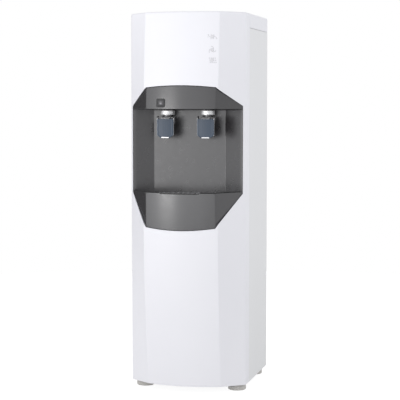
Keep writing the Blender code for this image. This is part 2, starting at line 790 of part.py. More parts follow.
def cold_tank():
    wall = 0.001
    profile = [(0.030, COLD_LOW), (COLD_R - 0.008, COLD_LOW), (COLD_R, COLD_LOW + 0.008), (COLD_R, COLD_HIGH)]
    profile += [(COLD_R - wall, COLD_HIGH), (COLD_R - wall, COLD_LOW + 0.009)]
    profile += [(COLD_R - 0.009, COLD_LOW + wall), (0.030, COLD_LOW + wall)]
    return add("cold_tank", moved(turned(profile, 24), (0.0, TANK_Y, 0.0)), steel(), 30)


def evaporator_coil():
    radius = COLD_R + 0.0055
    turns, steps = 4, 16
    curve = bpy.data.curves.new("evaporator_coil", "CURVE")
    curve.dimensions = "3D"
    curve.bevel_depth = 0.0035
    curve.bevel_resolution = 1
    curve.use_fill_caps = True
    spline = curve.splines.new("POLY")
    count = turns * steps
    spline.points.add(count)
    for i, point in enumerate(spline.points):
        turn = 2 * math.pi * i / steps
        x, y = radius * math.cos(turn), TANK_Y + radius * math.sin(turn)
        point.co = (x, y, 0.830 + 0.090 * i / count, 1.0)
    curve.materials.append(copper())
    obj = bpy.data.objects.new("evaporator_coil", curve)
    bpy.context.scene.collection.objects.link(obj)
    return obj


def cold_tank_lid():
    low = COLD_HIGH + GAP
    profile = [(0.0895, low), (0.0905, low + 0.001), (0.0905, low + 0.004), (0.085, low + 0.0055)]
    lid = add("cold_tank_lid", moved(turned(profile, 24), (0.0, TANK_Y, 0.0)), white(), 30)
    hole = moved(turned([(0.0083, 0.97), (0.0083, 1.0)], 16), (FLOAT_PIVOT.x, TANK_Y, 0.0))
    return cut(lid, guide("float_valve_hole", hole))


def float_valve():
    x, y, z = FLOAT_PIVOT
    stem = turned([(0.0080, z + 0.006), (0.0080, 1.004), (0.0045, 1.006), (0.0045, 1.018)], 16)
    valve = add("float_valve", moved(stem, (x, y, 0.0)), white(), 30)
    fork = block((x - 0.006, y - 0.0055, z - 0.005), (x + 0.006, y + 0.0055, z + 0.009))
    join(valve, guide("float_fork", fork))
    slot = block((x - 0.01, y - 0.0023, z - 0.01), (x + 0.01, y + 0.0023, z + 0.0055))
    cut(valve, guide("float_slot", slot))
    pin = along_y(turned([(PIN_R, -0.005), (PIN_R, 0.005)], 12), (x, y, z))
    return join(valve, guide("float_pin", pin))


def float_arm():
    x, y, z = FLOAT_PIVOT
    outline = [(0.0042, -0.003), (0.0042, 0.003), (-0.070, 0.002), (-0.070, -0.002)]
    arm = add("float_arm", prism_y(outline, -0.0020, 0.0020), white(), 30)
    bulb = turned([(0.010, -0.022), (0.018, -0.016), (0.018, 0.004), (0.010, 0.010)], 16)
    join(arm, guide("float_bulb", moved(bulb, (-0.082, 0.0, 0.0))))
    eye = along_y(turned([(PIN_R + GAP, -0.01), (PIN_R + GAP, 0.01)], 12), (0.0, 0.0, 0.0))
    cut(arm, guide("float_eye", eye))
    for piece in [arm] + [modifier.object for modifier in arm.modifiers]:
        piece.matrix_world = Matrix.Translation((x, y, z)) @ Matrix.Rotation(FLOAT_REST, 4, "Y")
    return arm


def hot_tank():
    low = LOWER_SHELF_Z + 0.0015 + GAP
    high, wall = low + 0.200, 0.0012
    profile = [(HOT_R - 0.010, low), (HOT_R, low + 0.010), (HOT_R, high - 0.010), (HOT_R - 0.010, high)]
    profile += [(0.0065, high), (0.0065, high + 0.010), (0.0050, high + 0.010), (0.0050, high - wall)]
    profile += [(HOT_R - 0.0105, high - wall), (HOT_R - wall, high - 0.0105)]
    profile += [(HOT_R - wall, low + 0.0105), (HOT_R - 0.0105, low + wall)]
    return add("hot_tank", moved(turned(profile, 20), (0.0, HOT_Y, 0.0)), steel(), 30)


def heater_band():
    inner = HOT_R + 0.0006
    profile = [(inner, 0.500), (inner + 0.003, 0.500), (inner + 0.003, 0.540), (inner, 0.540)]
    return add("heater_band", moved(turned(profile, 20, True), (0.0, HOT_Y, 0.0)), black_metal(), 30)


def water_tubes():
    end_y = BACK_Y - FLANGE + SHANK_LENGTH
    top = LOWER_SHELF_Z + 0.2121
    hot = [(0.0, HOT_Y, top), (0.0, HOT_Y, 0.700), (-0.030, -0.040, 0.715), (-TAP_X, -0.045, 0.735)]
    hot += [(-TAP_X, -0.042, SHANK_Z), (-TAP_X, end_y, SHANK_Z)]
    tube("hot_water_tube", hot, 0.0048, tube_silicone())
    front = TANK_Y - 0.0985 - GAP
    cold = [(TAP_X, front, 0.805), (TAP_X, -0.043, 0.805), (TAP_X, -0.043, SHANK_Z), (TAP_X, end_y, SHANK_Z)]
    tube("cold_water_tube", cold, 0.0048, tube_silicone())


def compressor():
    profile = [(0.035, 0.052), (0.056, 0.058), (0.062, 0.075), (0.062, 0.150), (0.054, 0.180), (0.030, 0.195)]
    body = add("compressor", moved(turned(profile, 20), (COMPRESSOR_X, COMPRESSOR_Y, 0.0)), black_metal(), 30)
    feet = prism_z(rounded_box(0.075, 0.055, 0.012, 2, (COMPRESSOR_X, COMPRESSOR_Y)), 0.050, 0.0535)
    join(body, guide("compressor_feet", feet))
    for index, (sx, sy) in enumerate(((-1, -1), (1, -1), (1, 1), (-1, 1))):
        leg = turned([(0.009, BASE + 0.0038 + GAP), (0.009, 0.0515)], 12)
        place = (COMPRESSOR_X + sx * 0.062, COMPRESSOR_Y + sy * 0.042, 0.0)
        join(body, guide(f"compressor_leg_{index + 1}", moved(leg, place)))
    return body


def condenser():
    """A flat serpentine in the recess at the back."""
    passes, half, low, pitch = 8, 0.125, 0.290, 0.048
    path = []
    for row in range(passes):
        z = low + row * pitch
        ends = [(half, z), (-half, z)] if row % 2 else [(-half, z), (half, z)]
        path.extend((x, CONDENSER_Y, height) for x, height in ends)
    return tube("condenser", path, 0.0028, black_metal(), bends=3)


def filter_manifold():
    low = FILTER_HIGH + GAP
    body = add("filter_manifold", block((-0.105, -0.128, low + 0.010), (0.105, -0.082, low + 0.034)), white())
    for index, x in enumerate(FILTER_XS):
        head = moved(turned([(0.020, low), (0.020, low + 0.012)], 20), (x, FILTER_Y, 0.0))
        join(body, guide(f"filter_head_{index + 1}", head))
    bracket = block((-0.095, -0.0835, low + 0.012), (0.095, -0.040, LOWER_SHELF_Z - 0.0123))
    return join(body, guide("filter_bracket", bracket))


def filter_cartridge(name, x):
    shell = turned([(0.022, FILTER_LOW), (0.027, FILTER_LOW + 0.006), (0.027, FILTER_HIGH - 0.022),
                    (0.019, FILTER_HIGH - 0.010), (0.019, FILTER_HIGH)], 20)
    cartridge = add(name, moved(shell, (x, FILTER_Y, 0.0)), blue_plastic(), 30)
    return hang(cartridge, pivot(f"{name}_turn", (x, FILTER_Y, FILTER_HIGH)))


# ---------------------------------------------------------------- back


def switch_middle():
    return sum(SWITCH_XS.values()) / len(SWITCH_XS)


def switch_housing():
    middle = switch_middle()
    flange = prism_y(rounded_box(0.031, 0.021, 0.003, 2, (middle, SWITCH_Z)), REAR_PANEL_Y + SHEET + GAP,
                     REAR_PANEL_Y + SHEET + 0.0028)
    housing = add("switch_housing", flange, black_plastic())
    box = prism_y(rounded_box(0.0278, 0.0178, 0.003, 2, (middle, SWITCH_Z)), REAR_PANEL_Y - 0.022,
                  REAR_PANEL_Y + SHEET + 0.002)
    join(housing, guide("switch_box", box))
    for name, x in SWITCH_XS.items():
        pocket = block((x - 0.0095, REAR_PANEL_Y - 0.020, SWITCH_Z - 0.0140),
                       (x + 0.0095, REAR_PANEL_Y + 0.02, SWITCH_Z + 0.0140))
        cut(housing, guide(f"{name}_pocket", pocket))
    return housing


def rocker_switch(name, x):
    """A rocker whose upper half stands out at rest."""
    y = REAR_PANEL_Y + SHEET
    side = [(y - 0.008, SWITCH_Z - 0.0085), (y + 0.0030, SWITCH_Z - 0.0125), (y + 0.0040, SWITCH_Z)]
    side += [(y + 0.0065, SWITCH_Z + 0.0120), (y - 0.008, SWITCH_Z + 0.0085)]
    rocker = add(name, prism_x(side, x - 0.0088, x + 0.0088), black_plastic())
    return hang(rocker, pivot(f"{name}_rock", (x, y - 0.004, SWITCH_Z)))


def power_inlet():
    y = REAR_PANEL_Y + SHEET
    flange = prism_y(rounded_box(0.018, 0.013, 0.003, 2, (INLET_X, POWER_INLET_Z)), y + GAP, y + 0.003)
    inlet = add("power_inlet", flange, black_plastic())
    body = prism_y(rounded_box(0.0138, 0.0098, 0.002, 2, (INLET_X, POWER_INLET_Z)), y - 0.020, y + 0.002)
    join(inlet, guide("power_inlet_body", body))
    socket = prism_y(rounded_box(0.0118, 0.0078, 0.002, 2, (INLET_X, POWER_INLET_Z)), y - 0.016, y + 0.01)
    cut(inlet, guide("power_inlet_socket", socket))
    for index, (across, up) in enumerate(((-0.006, -0.002), (0.0, 0.002), (0.006, -0.002))):
        x, z = INLET_X + across, POWER_INLET_Z + up
        pin = block((x - 0.001, y - 0.017, z - 0.002), (x + 0.001, y - 0.004, z + 0.002))
        join(inlet, guide(f"power_inlet_pin_{index + 1}", pin))
    return inlet


def water_inlet():
    y = REAR_PANEL_Y
    profile = [(0.0060, -0.020), (0.0060, SHEET + GAP), (0.0110, SHEET + GAP), (0.0110, 0.006)]
    profile += [(0.0085, 0.0075), (0.0085, 0.018), (0.0036, 0.018), (0.0036, -0.020)]
    body = along_y(turned(profile, 16, True), (INLET_X, y, WATER_INLET_Z))
    return add("water_inlet", body, white(), 30)


def drain_cap():
    y = REAR_PANEL_Y
    profile = [(0.0058, -0.012), (0.0058, SHEET + GAP), (0.0125, SHEET + GAP), (0.0125, 0.014)]
    profile += [(0.0105, 0.016)]
    cap = add("drain_cap", along_y(turned(profile, 20), (DRAIN_X, y, DRAIN_Z)), black_plastic(), 30)
    return hang(cap, pivot("drain_cap_turn", (DRAIN_X, y, DRAIN_Z)))


# ---------------------------------------------------------------- feet


def foot_places():
    places = [(x, y) for y in FOOT_YS for x in (-FOOT_X, FOOT_X)]
    names = ("front_left_foot", "front_right_foot", "rear_left_foot", "rear_right_foot")
    return [(name, x, y) for name, (x, y) in zip(names, places)]


def levelling_foot(name, x, y):
    profile = [(0.0235, 0.0), (0.0260, 0.002), (0.0260, 0.010), (0.0225, 0.0165), (0.0120, 0.0175)]
    profile += [(0.0120, BASE + 0.002 - GAP), (0.0045, BASE + 0.002 - GAP), (0.0045, 0.0430)]
    foot = add(name, moved(turned(profile, 24), (x, y, 0.0)), foot_plastic(), 30)
    return hang(foot, pivot(f"{name}_turn", (x, y, 0.0)))


# ---------------------------------------------------------------- the whole


def build():
    clear_scene()
    front_cover()
    side_panel(-1, "side_panel_left")
    side_panel(1, "side_panel_right")
    hang(top_cover(), pivot("top_cover_lift", (0.0, TANK_Y, LID_Z)))
    base_plate()
    rear_panel()
    bay_housing()
    hot_lock_button()
    tray_slide = pivot("drip_tray_slide", (0.0, BACK_Y, APRON_TOP))
    drip_tray(tray_slide)
    drip_tray_front(tray_slide)
    drip_grille()
    for name, z in zip(("heating_lamp_lens", "cooling_lamp_lens", "ready_lamp_lens"), LAMP_ZS):
        lamp_lens(name, z)
    lamp_board()
    control_box()
    tap(-1, "hot")
    tap(1, "cold")
    shelf("upper_shelf", UPPER_SHELF_Z, -0.030)
    shelf("lower_shelf", LOWER_SHELF_Z, -0.050)
    cold_tank_insulation()
    cold_tank()
    evaporator_coil()
    cold_tank_lid()
    float_valve()
    float_arm()
    hot_tank()
    heater_band()
    water_tubes()
    compressor()
    condenser()
    filter_manifold()
    for index, x in enumerate(FILTER_XS):
        filter_cartridge(f"filter_cartridge_{index + 1}", x)
    switch_housing()
    for name, x in SWITCH_XS.items():
        rocker_switch(name, x)
    power_inlet()
    water_inlet()
    drain_cap()
    for name, x, y in foot_places():
        levelling_foot(name, x, y)


build()
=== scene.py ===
"""The looks of the floor-standing water dispenser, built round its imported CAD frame.

Metres, +Z up, the front towards -Y.
"""

import json
from math import atan, atan2, ceil, copysign, cos, dist, exp, hypot, pi, radians, sin, tan

import bmesh
import bpy
from mathutils import Matrix, Vector
from mathutils.geometry import delaunay_2d_cdt


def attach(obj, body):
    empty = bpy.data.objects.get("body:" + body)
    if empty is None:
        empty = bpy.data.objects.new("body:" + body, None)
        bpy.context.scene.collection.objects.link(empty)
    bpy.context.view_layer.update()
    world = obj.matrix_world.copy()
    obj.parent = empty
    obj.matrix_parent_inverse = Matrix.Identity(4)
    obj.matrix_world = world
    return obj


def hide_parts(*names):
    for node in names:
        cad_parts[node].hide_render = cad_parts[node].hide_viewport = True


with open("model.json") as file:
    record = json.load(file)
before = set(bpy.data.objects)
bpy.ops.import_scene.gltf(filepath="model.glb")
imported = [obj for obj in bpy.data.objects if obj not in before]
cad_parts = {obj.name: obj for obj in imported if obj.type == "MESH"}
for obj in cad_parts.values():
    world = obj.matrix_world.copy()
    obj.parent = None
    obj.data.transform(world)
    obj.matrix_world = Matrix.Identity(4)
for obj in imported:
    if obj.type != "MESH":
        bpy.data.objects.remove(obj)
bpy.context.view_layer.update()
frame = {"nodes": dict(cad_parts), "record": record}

# The cabinet, as the CAD has it
HALF, REAR, HEIGHT, BASE = 0.171, 0.2072, 1.085, 0.020
SEAM_Y, SEAM, LID_Z = -0.058, 0.0008, 1.0432
CORNER_Y, CORNER_R, EDGE_R = -0.100, 0.018, 0.006
PANEL_HALF, FACET_DEPTH, BULGE, BOW, BOW_Z = 0.108, 0.091, 0.019, 0.125, 0.614
BAY_TOP, BAY_ARCH, BAY_FLAT_HALF, BAY_SIDE = 0.873, 0.0056, 0.1012, 0.1628
BAY_SIDE_TOP, BAY_SIDE_LOW, BAY_LOW, BAY_SAG = 0.8207, 0.572, 0.478, 0.0075
BROW_LOW, APRON_TOP, RECESS = 0.8120, 0.5767, 0.0035
BACK_Y, BACK_HALF, WING_Y = -0.0853, 0.1062, -0.1100
TAP_X, TAP_Y, SHANK_Z = 0.0593, -0.1058, 0.775
PIVOT_Y, PIVOT_Z = -0.1218, 0.787
LOCK_X, LOCK_Z = -0.0553, 0.8296
LOCK_HALF_X, LOCK_HALF_Z = 0.0128, 0.0113
LAMP_X, LAMP_R = 0.0895, 0.0045
LAMPS = {"heating_lamp_lens": 1.0135, "cooling_lamp_lens": 0.9770, "ready_lamp_lens": 0.9480}
REAR_PANEL_Y, SHEET = 0.176, 0.0012
LAMP_SLOPE = 2 * BULGE * LAMP_X / PANEL_HALF**2  # the cover's slope at the lamps


# --- materials


class Graph:
    """A node tree, with short ways to add to it."""

    def __init__(self, tree):
        self.nodes = tree.nodes
        self.links = tree.links

    def feed(self, node, inputs):
        """Sets a node's inputs, each to a value or to another node's socket."""
        for key, value in inputs.items():
            if isinstance(value, bpy.types.NodeSocket):
                self.links.new(value, node.inputs[key])
            else:
                node.inputs[key].default_value = value

    def add(self, kind, inputs, operation=None):
        node = self.nodes.new(kind)
        if operation:
            node.operation = operation
        self.feed(node, inputs)
        return node

    def combine(self, operation, first, second):
        return self.add("ShaderNodeMath", {0: first, 1: second}, operation).outputs[0]

    def place(self, kind):
        return self.add("ShaderNodeTexCoord", {}).outputs[kind]

    def noise(self, scale, detail=3.0, stretch=(1.0, 1.0, 1.0)):
        mapping = self.add("ShaderNodeMapping", {"Vector": self.place("Object"), "Scale": stretch})
        inputs = {"Vector": mapping.outputs["Vector"], "Scale": scale, "Detail": detail}
        return self.add("ShaderNodeTexNoise", inputs).outputs["Fac"]

    def cells(self, scale):
        return self.add("ShaderNodeTexVoronoi", {"Vector": self.place("Object"), "Scale": scale})

    def ramp(self, source, low, high):
        """A colour that runs from low to high as the source goes from 0 to 1."""
        mix = self.nodes.new("ShaderNodeMix")
        mix.data_type = "RGBA"
        self.feed(mix, {0: source, 6: (*low, 1.0), 7: (*high, 1.0)})
        return mix.outputs[2]

    def spread(self, source, low, high):
        """A number that runs from low to high as the source goes from 0.3 to 0.7."""
        inputs = {"Value": source, "From Min": 0.3, "From Max": 0.7, "To Min": low, "To Max": high}
        return self.add("ShaderNodeMapRange", inputs).outputs["Result"]

    def bump(self, height, strength, distance):
        inputs = {"Height": height, "Strength": strength, "Distance": distance}
        return self.add("ShaderNodeBump", inputs).outputs["Normal"]

    def by_ray(self, lit, seen):
        """One shader that lights the object, and another that the camera sees."""
        camera_ray = self.add("ShaderNodeLightPath", {}).outputs["Is Camera Ray"]
        return self.add("ShaderNodeMixShader", {0: camera_ray, 1: lit, 2: seen}).outputs[0]


class Finish(Graph):
    """A material with one Principled shader."""

    def __init__(self, name):
        self.material = bpy.data.materials.new(name)
        self.material.use_nodes = True
        super().__init__(self.material.node_tree)
        self.shader = self.nodes["Principled BSDF"]

    def made(self, inputs):
        self.feed(self.shader, inputs)
        return self.material


def moulded(name, colour, roughness, grain=1400.0, relief=0.12, tint=0.02, coat=0.0, specular=0.5, ior=1.5):
    """Moulded plastic: a fine grain, a slow drift of colour and uneven gloss."""
    finish = Finish(name)
    low = tuple(c * (1 - tint) for c in colour)
    high = tuple(min(1.0, c * (1 + tint)) for c in colour)
    return finish.made({
        "Base Color": finish.ramp(finish.noise(5.0, 4.0), low, high),
        "Roughness": finish.spread(finish.noise(60.0, 5.0), roughness * 0.88, roughness * 1.12),
        "Normal": finish.bump(finish.noise(grain, 2.0), relief, 0.00004),
        "Coat Weight": coat,
        "Coat Roughness": 0.12,
        "Specular IOR Level": specular,
        "IOR": ior,
    })


def painted(name, colour, roughness):
    """Baked paint on sheet steel, with a faint orange peel."""
    finish = Finish(name)
    peel = finish.noise(420.0, 2.0)
    return finish.made({
        "Base Color": finish.ramp(finish.noise(3.0), tuple(c * 0.985 for c in colour), colour),
        "Roughness": finish.spread(peel, roughness * 0.9, roughness * 1.1),
        "Normal": finish.bump(peel, 0.10, 0.00008),
    })


def metal(name, colour, roughness, stretch=(1.0, 1.0, 1.0), grain=900.0, relief=0.08, metallic=1.0):
    """Bare or plated metal, brushed along the axis with the smallest stretch."""
    finish = Finish(name)
    lines = finish.noise(grain, 4.0, stretch)
    return finish.made({
        "Metallic": metallic,
        "Base Color": finish.ramp(finish.noise(25.0, 4.0), tuple(c * 0.94 for c in colour), colour),
        "Roughness": finish.spread(lines, roughness * 0.75, roughness * 1.25),
        "Normal": finish.bump(lines, relief, 0.00002),
    })


def galvanised(name):
    """Zinc-coated sheet, with its spangle."""
    finish = Finish(name)
    split = finish.add("ShaderNodeSeparateColor", {"Color": finish.cells(130.0).outputs["Color"]})
    return finish.made({
        "Base Color": finish.ramp(split.outputs[0], (0.50, 0.51, 0.53), (0.64, 0.65, 0.66)),
        "Roughness": finish.spread(split.outputs[1], 0.34, 0.50),
        "Metallic": 1.0,
        "Normal": finish.bump(finish.noise(700.0), 0.06, 0.00004),
    })


def smoked(name):
    """Smoked blue-grey plastic with faint vertical flow lines."""
    finish = Finish(name)
    flow = finish.noise(60.0, 3.0, (6.0, 1.0, 0.15))
    return finish.made({
        "Base Color": finish.ramp(flow, (0.020, 0.040, 0.070), (0.045, 0.070, 0.110)),
        "Roughness": finish.spread(flow, 0.28, 0.36),
        "Normal": finish.bump(finish.noise(900.0), 0.03, 0.00003),
    })


def beads(name):
    """Moulded polystyrene: pressed beads with dark seams between them."""
    finish = Finish(name)
    seams = finish.cells(260.0).outputs["Distance"]
    return finish.made({
        "Base Color": finish.ramp(seams, (0.90, 0.90, 0.88), (0.74, 0.74, 0.72)),
        "Roughness": 0.9,
        "Normal": finish.bump(seams, -0.5, 0.0008),
    })


def circuit(name):
    """A circuit board's green mask over faint tracks."""
    finish = Finish(name)
    tracks = finish.add("ShaderNodeTexBrick", {
        "Vector": finish.place("Object"),
        "Scale": 180.0,
        "Color1": (0.02, 0.16, 0.06, 1.0),
        "Color2": (0.03, 0.20, 0.08, 1.0),
        "Mortar": (0.08, 0.30, 0.14, 1.0),
    })
    return finish.made({
        "Base Color": tracks.outputs["Color"],
        "Roughness": finish.spread(finish.noise(90.0), 0.3, 0.45),
        "Normal": finish.bump(tracks.outputs["Fac"], 0.2, 0.0002),
    })


def dark_plastic(name, roughness, ior=1.5):
    """The bay's dark satin plastic."""
    look = {"grain": 500.0, "relief": 0.006, "tint": 0.05, "specular": 1.0}
    return moulded(name, (0.027, 0.025, 0.027), roughness, ior=ior, **look)


WHITE = moulded("cool white plastic", (0.87, 0.865, 0.90), 0.40, grain=450.0, relief=0.03, specular=0.4)
STEEL_WHITE = painted("white enamel", (0.82, 0.82, 0.825), 0.38)
DARK = dark_plastic("dark satin plastic", 0.30)
BROW = dark_plastic("dark brow plastic", 0.24)
APRON = dark_plastic("dark apron plastic", 0.24, ior=1.58)
CAP = metal("bright cap plate", (0.95, 0.95, 0.95), 0.30, grain=300.0, relief=0.01, metallic=0.55)
LEVER = metal("satin chrome plate", (0.56, 0.56, 0.57), 0.20, grain=300.0, relief=0.01)
# The tap bodies' chrome, darkened to stand in for the shade under the brow and the dark bay it reflects:
# painted shade
SHADED_CHROME = metal("shade-darkened chrome plate", (0.24, 0.24, 0.245), 0.30, grain=300.0, relief=0.01)
CHROME = metal("chrome plate", (0.86, 0.86, 0.87), 0.045, grain=300.0, relief=0.01)
SMOKED = smoked("smoked paddle plastic")
STAINLESS = metal("brushed stainless", (0.58, 0.58, 0.59), 0.28, stretch=(0.03, 1.0, 1.0))
ZINC = galvanised("galvanised sheet")
BLACK_PAINT = painted("black paint", (0.018, 0.018, 0.019), 0.42)
FOAM = beads("bead foam")
COPPER = metal("drawn copper", (0.72, 0.36, 0.22), 0.30, grain=500.0)
BLACK = moulded("black plastic", (0.022, 0.022, 0.023), 0.48, relief=0.3, tint=0.08)
BLUE = moulded("filter blue plastic", (0.05, 0.16, 0.42), 0.33)
LENS = moulded("frosted lens", (0.74, 0.73, 0.76), 0.25, coat=0.4)
BOARD = circuit("green circuit board")
TUBE = moulded("milky silicone", (0.62, 0.65, 0.66), 0.42)
FOOT = moulded("warm grey foot plastic", (0.62, 0.60, 0.57), 0.55, relief=0.3)
PRINT = moulded("pale grey print", (0.64, 0.63, 0.66), 0.5)
SYMBOL = moulded("light grey symbol", (0.30, 0.295, 0.31), 0.45)
ZINC_DARK = metal("zinc plated screw", (0.42, 0.42, 0.43), 0.35)
FACE = moulded("button face plastic", (0.075, 0.072, 0.076), 0.55, grain=900.0, relief=0.1)
RING = moulded("dark ring plastic", (0.018, 0.018, 0.020), 0.45, grain=900.0, relief=0.2)
# Black for the strip behind the apron: painted shade of the gap there
GAP_SHADE_BLACK = moulded("black for painted gap shade", (0.012, 0.012, 0.013), 0.75)


# --- mesh tools


def offset(points, distance, closed=False):
    """A line of (x, y) points moved to its left by a distance, with mitred corners."""
    count = len(points)
    normals = []
    for i in range(count if closed else count - 1):
        (ax, ay), (bx, by) = points[i], points[(i + 1) % count]
        length = hypot(bx - ax, by - ay)
        normals.append(((ay - by) / length, (bx - ax) / length))
    out = []
    for i, (x, y) in enumerate(points):
        before = normals[i - 1] if closed or i > 0 else normals[0]
        after = normals[i] if i < len(normals) else normals[-1]
        share = distance / (1 + before[0] * after[0] + before[1] * after[1])
        out.append((x + (before[0] + after[0]) * share, y + (before[1] + after[1]) * share))
    return out


def fillet(before, corner, after, radius, count):
    """Points of the arc that rounds a corner."""
    corner = Vector(corner)
    to_before = (Vector(before) - corner).normalized()
    to_after = (Vector(after) - corner).normalized()
    half_angle = to_before.angle(to_after) / 2
    reach = radius / tan(half_angle)
    centre = corner + (to_before + to_after).normalized() * radius / sin(half_angle)
    start = corner + to_before * reach - centre
    end = corner + to_after * reach - centre
    sweep = atan2(start.x * end.y - start.y * end.x, start.dot(end))
    points = []
    for step in range(count + 1):
        a = sweep * step / count
        x = start.x * cos(a) - start.y * sin(a)
        y = start.x * sin(a) + start.y * cos(a)
        points.append((centre.x + x, centre.y + y))
    return points


def subdivided(points, longest, closed=False):
    """The same line with no stretch longer than that."""
    out = []
    count = len(points)
    for i in range(count if closed else count - 1):
        (ax, ay), (bx, by) = points[i], points[(i + 1) % count]
        pieces = max(1, ceil(hypot(bx - ax, by - ay) / longest))
        out.extend((ax + (bx - ax) * k / pieces, ay + (by - ay) * k / pieces) for k in range(pieces))
    if not closed:
        out.append(points[-1])
    return out


def steps(low, high, longest):
    count = max(1, ceil((high - low) / longest))
    return [low + (high - low) * i / count for i in range(count + 1)]


def turns(sides):
    """The angles of the even steps round a full turn."""
    return [2 * pi * i / sides for i in range(sides)]


def quad(left, low, right, high):
    """The corners of a rectangle."""
    return [(left, low), (right, low), (right, high), (left, high)]


def mirrored(right):
    """Columns on both sides of the middle, from those on its right."""
    return [-u for u in right[:0:-1]] + right


def inside(point, loop):
    """True if a point lies inside a closed loop."""
    x, y = point
    found = False
    for (ax, ay), (bx, by) in zip(loop, loop[1:] + loop[:1]):
        if (ay > y) != (by > y) and x < ax + (bx - ax) * (y - ay) / (by - ay):
            found = not found
    return found


def near(point, loop, distance):
    """True if a point lies within a distance of a closed loop."""
    x, y = point
    for (ax, ay), (bx, by) in zip(loop, loop[1:] + loop[:1]):
        dx, dy = bx - ax, by - ay
        share = max(0.0, min(1.0, ((x - ax) * dx + (y - ay) * dy) / (dx * dx + dy * dy)))
        if hypot(x - ax - dx * share, y - ay - dy * share) < distance:
            return True
    return False


def data_of(mesh, name):
    """A finished mesh as mesh data."""
    data = bpy.data.meshes.new(name)
    mesh.to_mesh(data)
    mesh.free()
    return data


def linked(name, data):
    """A new object in the scene."""
    obj = bpy.data.objects.new(name, data)
    bpy.context.scene.collection.objects.link(obj)
    return obj


def finish_mesh(name, mesh, finish, body, replaced=(), thickness=None, smooth=35, bevel=None):
    """Makes a mesh a piece that rides on a body."""
    data = data_of(mesh, name)
    data.shade_smooth()
    data.set_sharp_from_angle(angle=radians(smooth))
    data.materials.append(finish)
    obj = linked(name, data)
    if thickness:
        solid = obj.modifiers.new("thickness", "SOLIDIFY")
        solid.thickness = thickness
        solid.offset = -1
    if bevel:
        rounding = obj.modifiers.new("edges", "BEVEL")
        rounding.width = bevel
        rounding.segments = 3
        rounding.limit_method = "ANGLE"
        rounding.angle_limit = radians(smooth)
    weighted = obj.modifiers.new("weighted normals", "WEIGHTED_NORMAL")
    weighted.keep_sharp = True
    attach(obj, body)
    if replaced:
        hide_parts(*replaced)


def outward(mesh):
    """Turns a mesh's faces the same way, outwards if it is closed."""
    bmesh.ops.recalc_face_normals(mesh, faces=mesh.faces)


def face_towards(mesh, direction):
    """Gives an open sheet one orientation, most of its area looking in a direction."""
    outward(mesh)
    if sum(face.normal.dot(Vector(direction)) * face.calc_area() for face in mesh.faces) < 0:
        bmesh.ops.reverse_faces(mesh, faces=mesh.faces)


INWARD = Vector((0.0, 1.0, 0.0))
ROLL_STEPS = 5


class Rim:
    """An edge of a skin: its true line, the radius it rolls over and how deep it turns inwards."""

    def __init__(self, line, radius, into, depth=0.005):
        self.line = line
        self.inner = offset(line, into * radius, closed=True)
        self.radius = radius
        self.depth = depth


def skin(place, columns, rows, outer, holes, clear, outer_rim=True):
    """A sheet over a region of (u, v), whose edges roll over and turn inwards."""
    bound = outer.inner if outer_rim else outer.line
    gaps = [hole.inner for hole in holes]
    points, edges, loops = [], [], []
    for loop in [bound] + gaps:
        first = len(points)
        points.extend(loop)
        edges.extend((first + i, first + (i + 1) % len(loop)) for i in range(len(loop)))
        loops.append(range(first, first + len(loop)))
    for spot in ((u, v) for u in columns for v in rows):
        if not inside(spot, bound) or any(inside(spot, gap) for gap in gaps):
            continue
        if not any(near(spot, loop, clear) for loop in [bound] + gaps):
            points.append(spot)
    made = delaunay_2d_cdt([Vector(p) for p in points], edges, [], 0, 1e-7, True)
    flat, triangles, sources = made[0], made[2], made[3]
    mesh = bmesh.new()
    verts = [mesh.verts.new(place(p.x, p.y)) for p in flat]
    found = {each: verts[index] for index, ids in enumerate(sources) for each in ids}
    for triangle in triangles:
        middle = (sum(flat[i].x for i in triangle) / 3, sum(flat[i].y for i in triangle) / 3)
        if inside(middle, bound) and not any(inside(middle, gap) for gap in gaps):
            mesh.faces.new([verts[i] for i in triangle])
    rings = [[found[i] for i in loop] for loop in loops]
    rims = [outer] + holes if outer_rim else holes
    for rim, ring in zip(rims, rings if outer_rim else rings[1:]):
        roll(mesh, ring, [place(u, v) for u, v in rim.line], rim)
    loose = [v for v in mesh.verts if not v.link_faces]
    bmesh.ops.delete(mesh, geom=loose, context="VERTS")
    return mesh, rings


def roll(mesh, ring, edge, rim):
    """Rolls a sheet's boundary over its true edge and turns it inwards."""
    starts = [vert.co.copy() for vert in ring]
    for step in range(1, ROLL_STEPS + 2):
        t = min(step / ROLL_STEPS, 1.0)
        reach = rim.radius if step <= ROLL_STEPS else rim.depth
        fresh = []
        for start, corner in zip(starts, edge):
            end = corner + INWARD * reach
            spot = start * (1 - t) ** 2 + corner * 2 * t * (1 - t) + end * t**2
            fresh.append(mesh.verts.new(spot))
        bridge(mesh, ring, fresh, closed=True)
        ring = fresh


def bridge(mesh, low, high, closed):
    count = len(low) if closed else len(low) - 1
    for i in range(count):
        j = (i + 1) % len(low)
        mesh.faces.new((low[i], low[j], high[j], high[i]))


def sheet_of(rings, closed=False, cap_last=False, cap_first=False):
    """A sheet through rings of equally many points."""
    mesh = bmesh.new()
    rows = [[mesh.verts.new(point) for point in ring] for ring in rings]
    for low, high in zip(rows, rows[1:]):
        bridge(mesh, low, high, closed)
    if cap_first:
        mesh.faces.new(rows[0][::-1])
    if cap_last:
        mesh.faces.new(rows[-1])
    return mesh, rows


def solid_of(rings, looped=False):
    """A solid through closed rings, with both ends capped, or joined to each other if it is looped."""
    mesh, rows = sheet_of(rings, True, not looped, not looped)
    if looped:
        bridge(mesh, rows[-1], rows[0], closed=True)
    outward(mesh)
    return mesh


def lathe(profile, sides=64, looped=False):
    """A solid turned about Z from (radius, height) points."""
    rings = []
    for radius, height in profile:
        rings.append([(radius * cos(t), radius * sin(t), height) for t in turns(sides)])
    return solid_of(rings, looped)


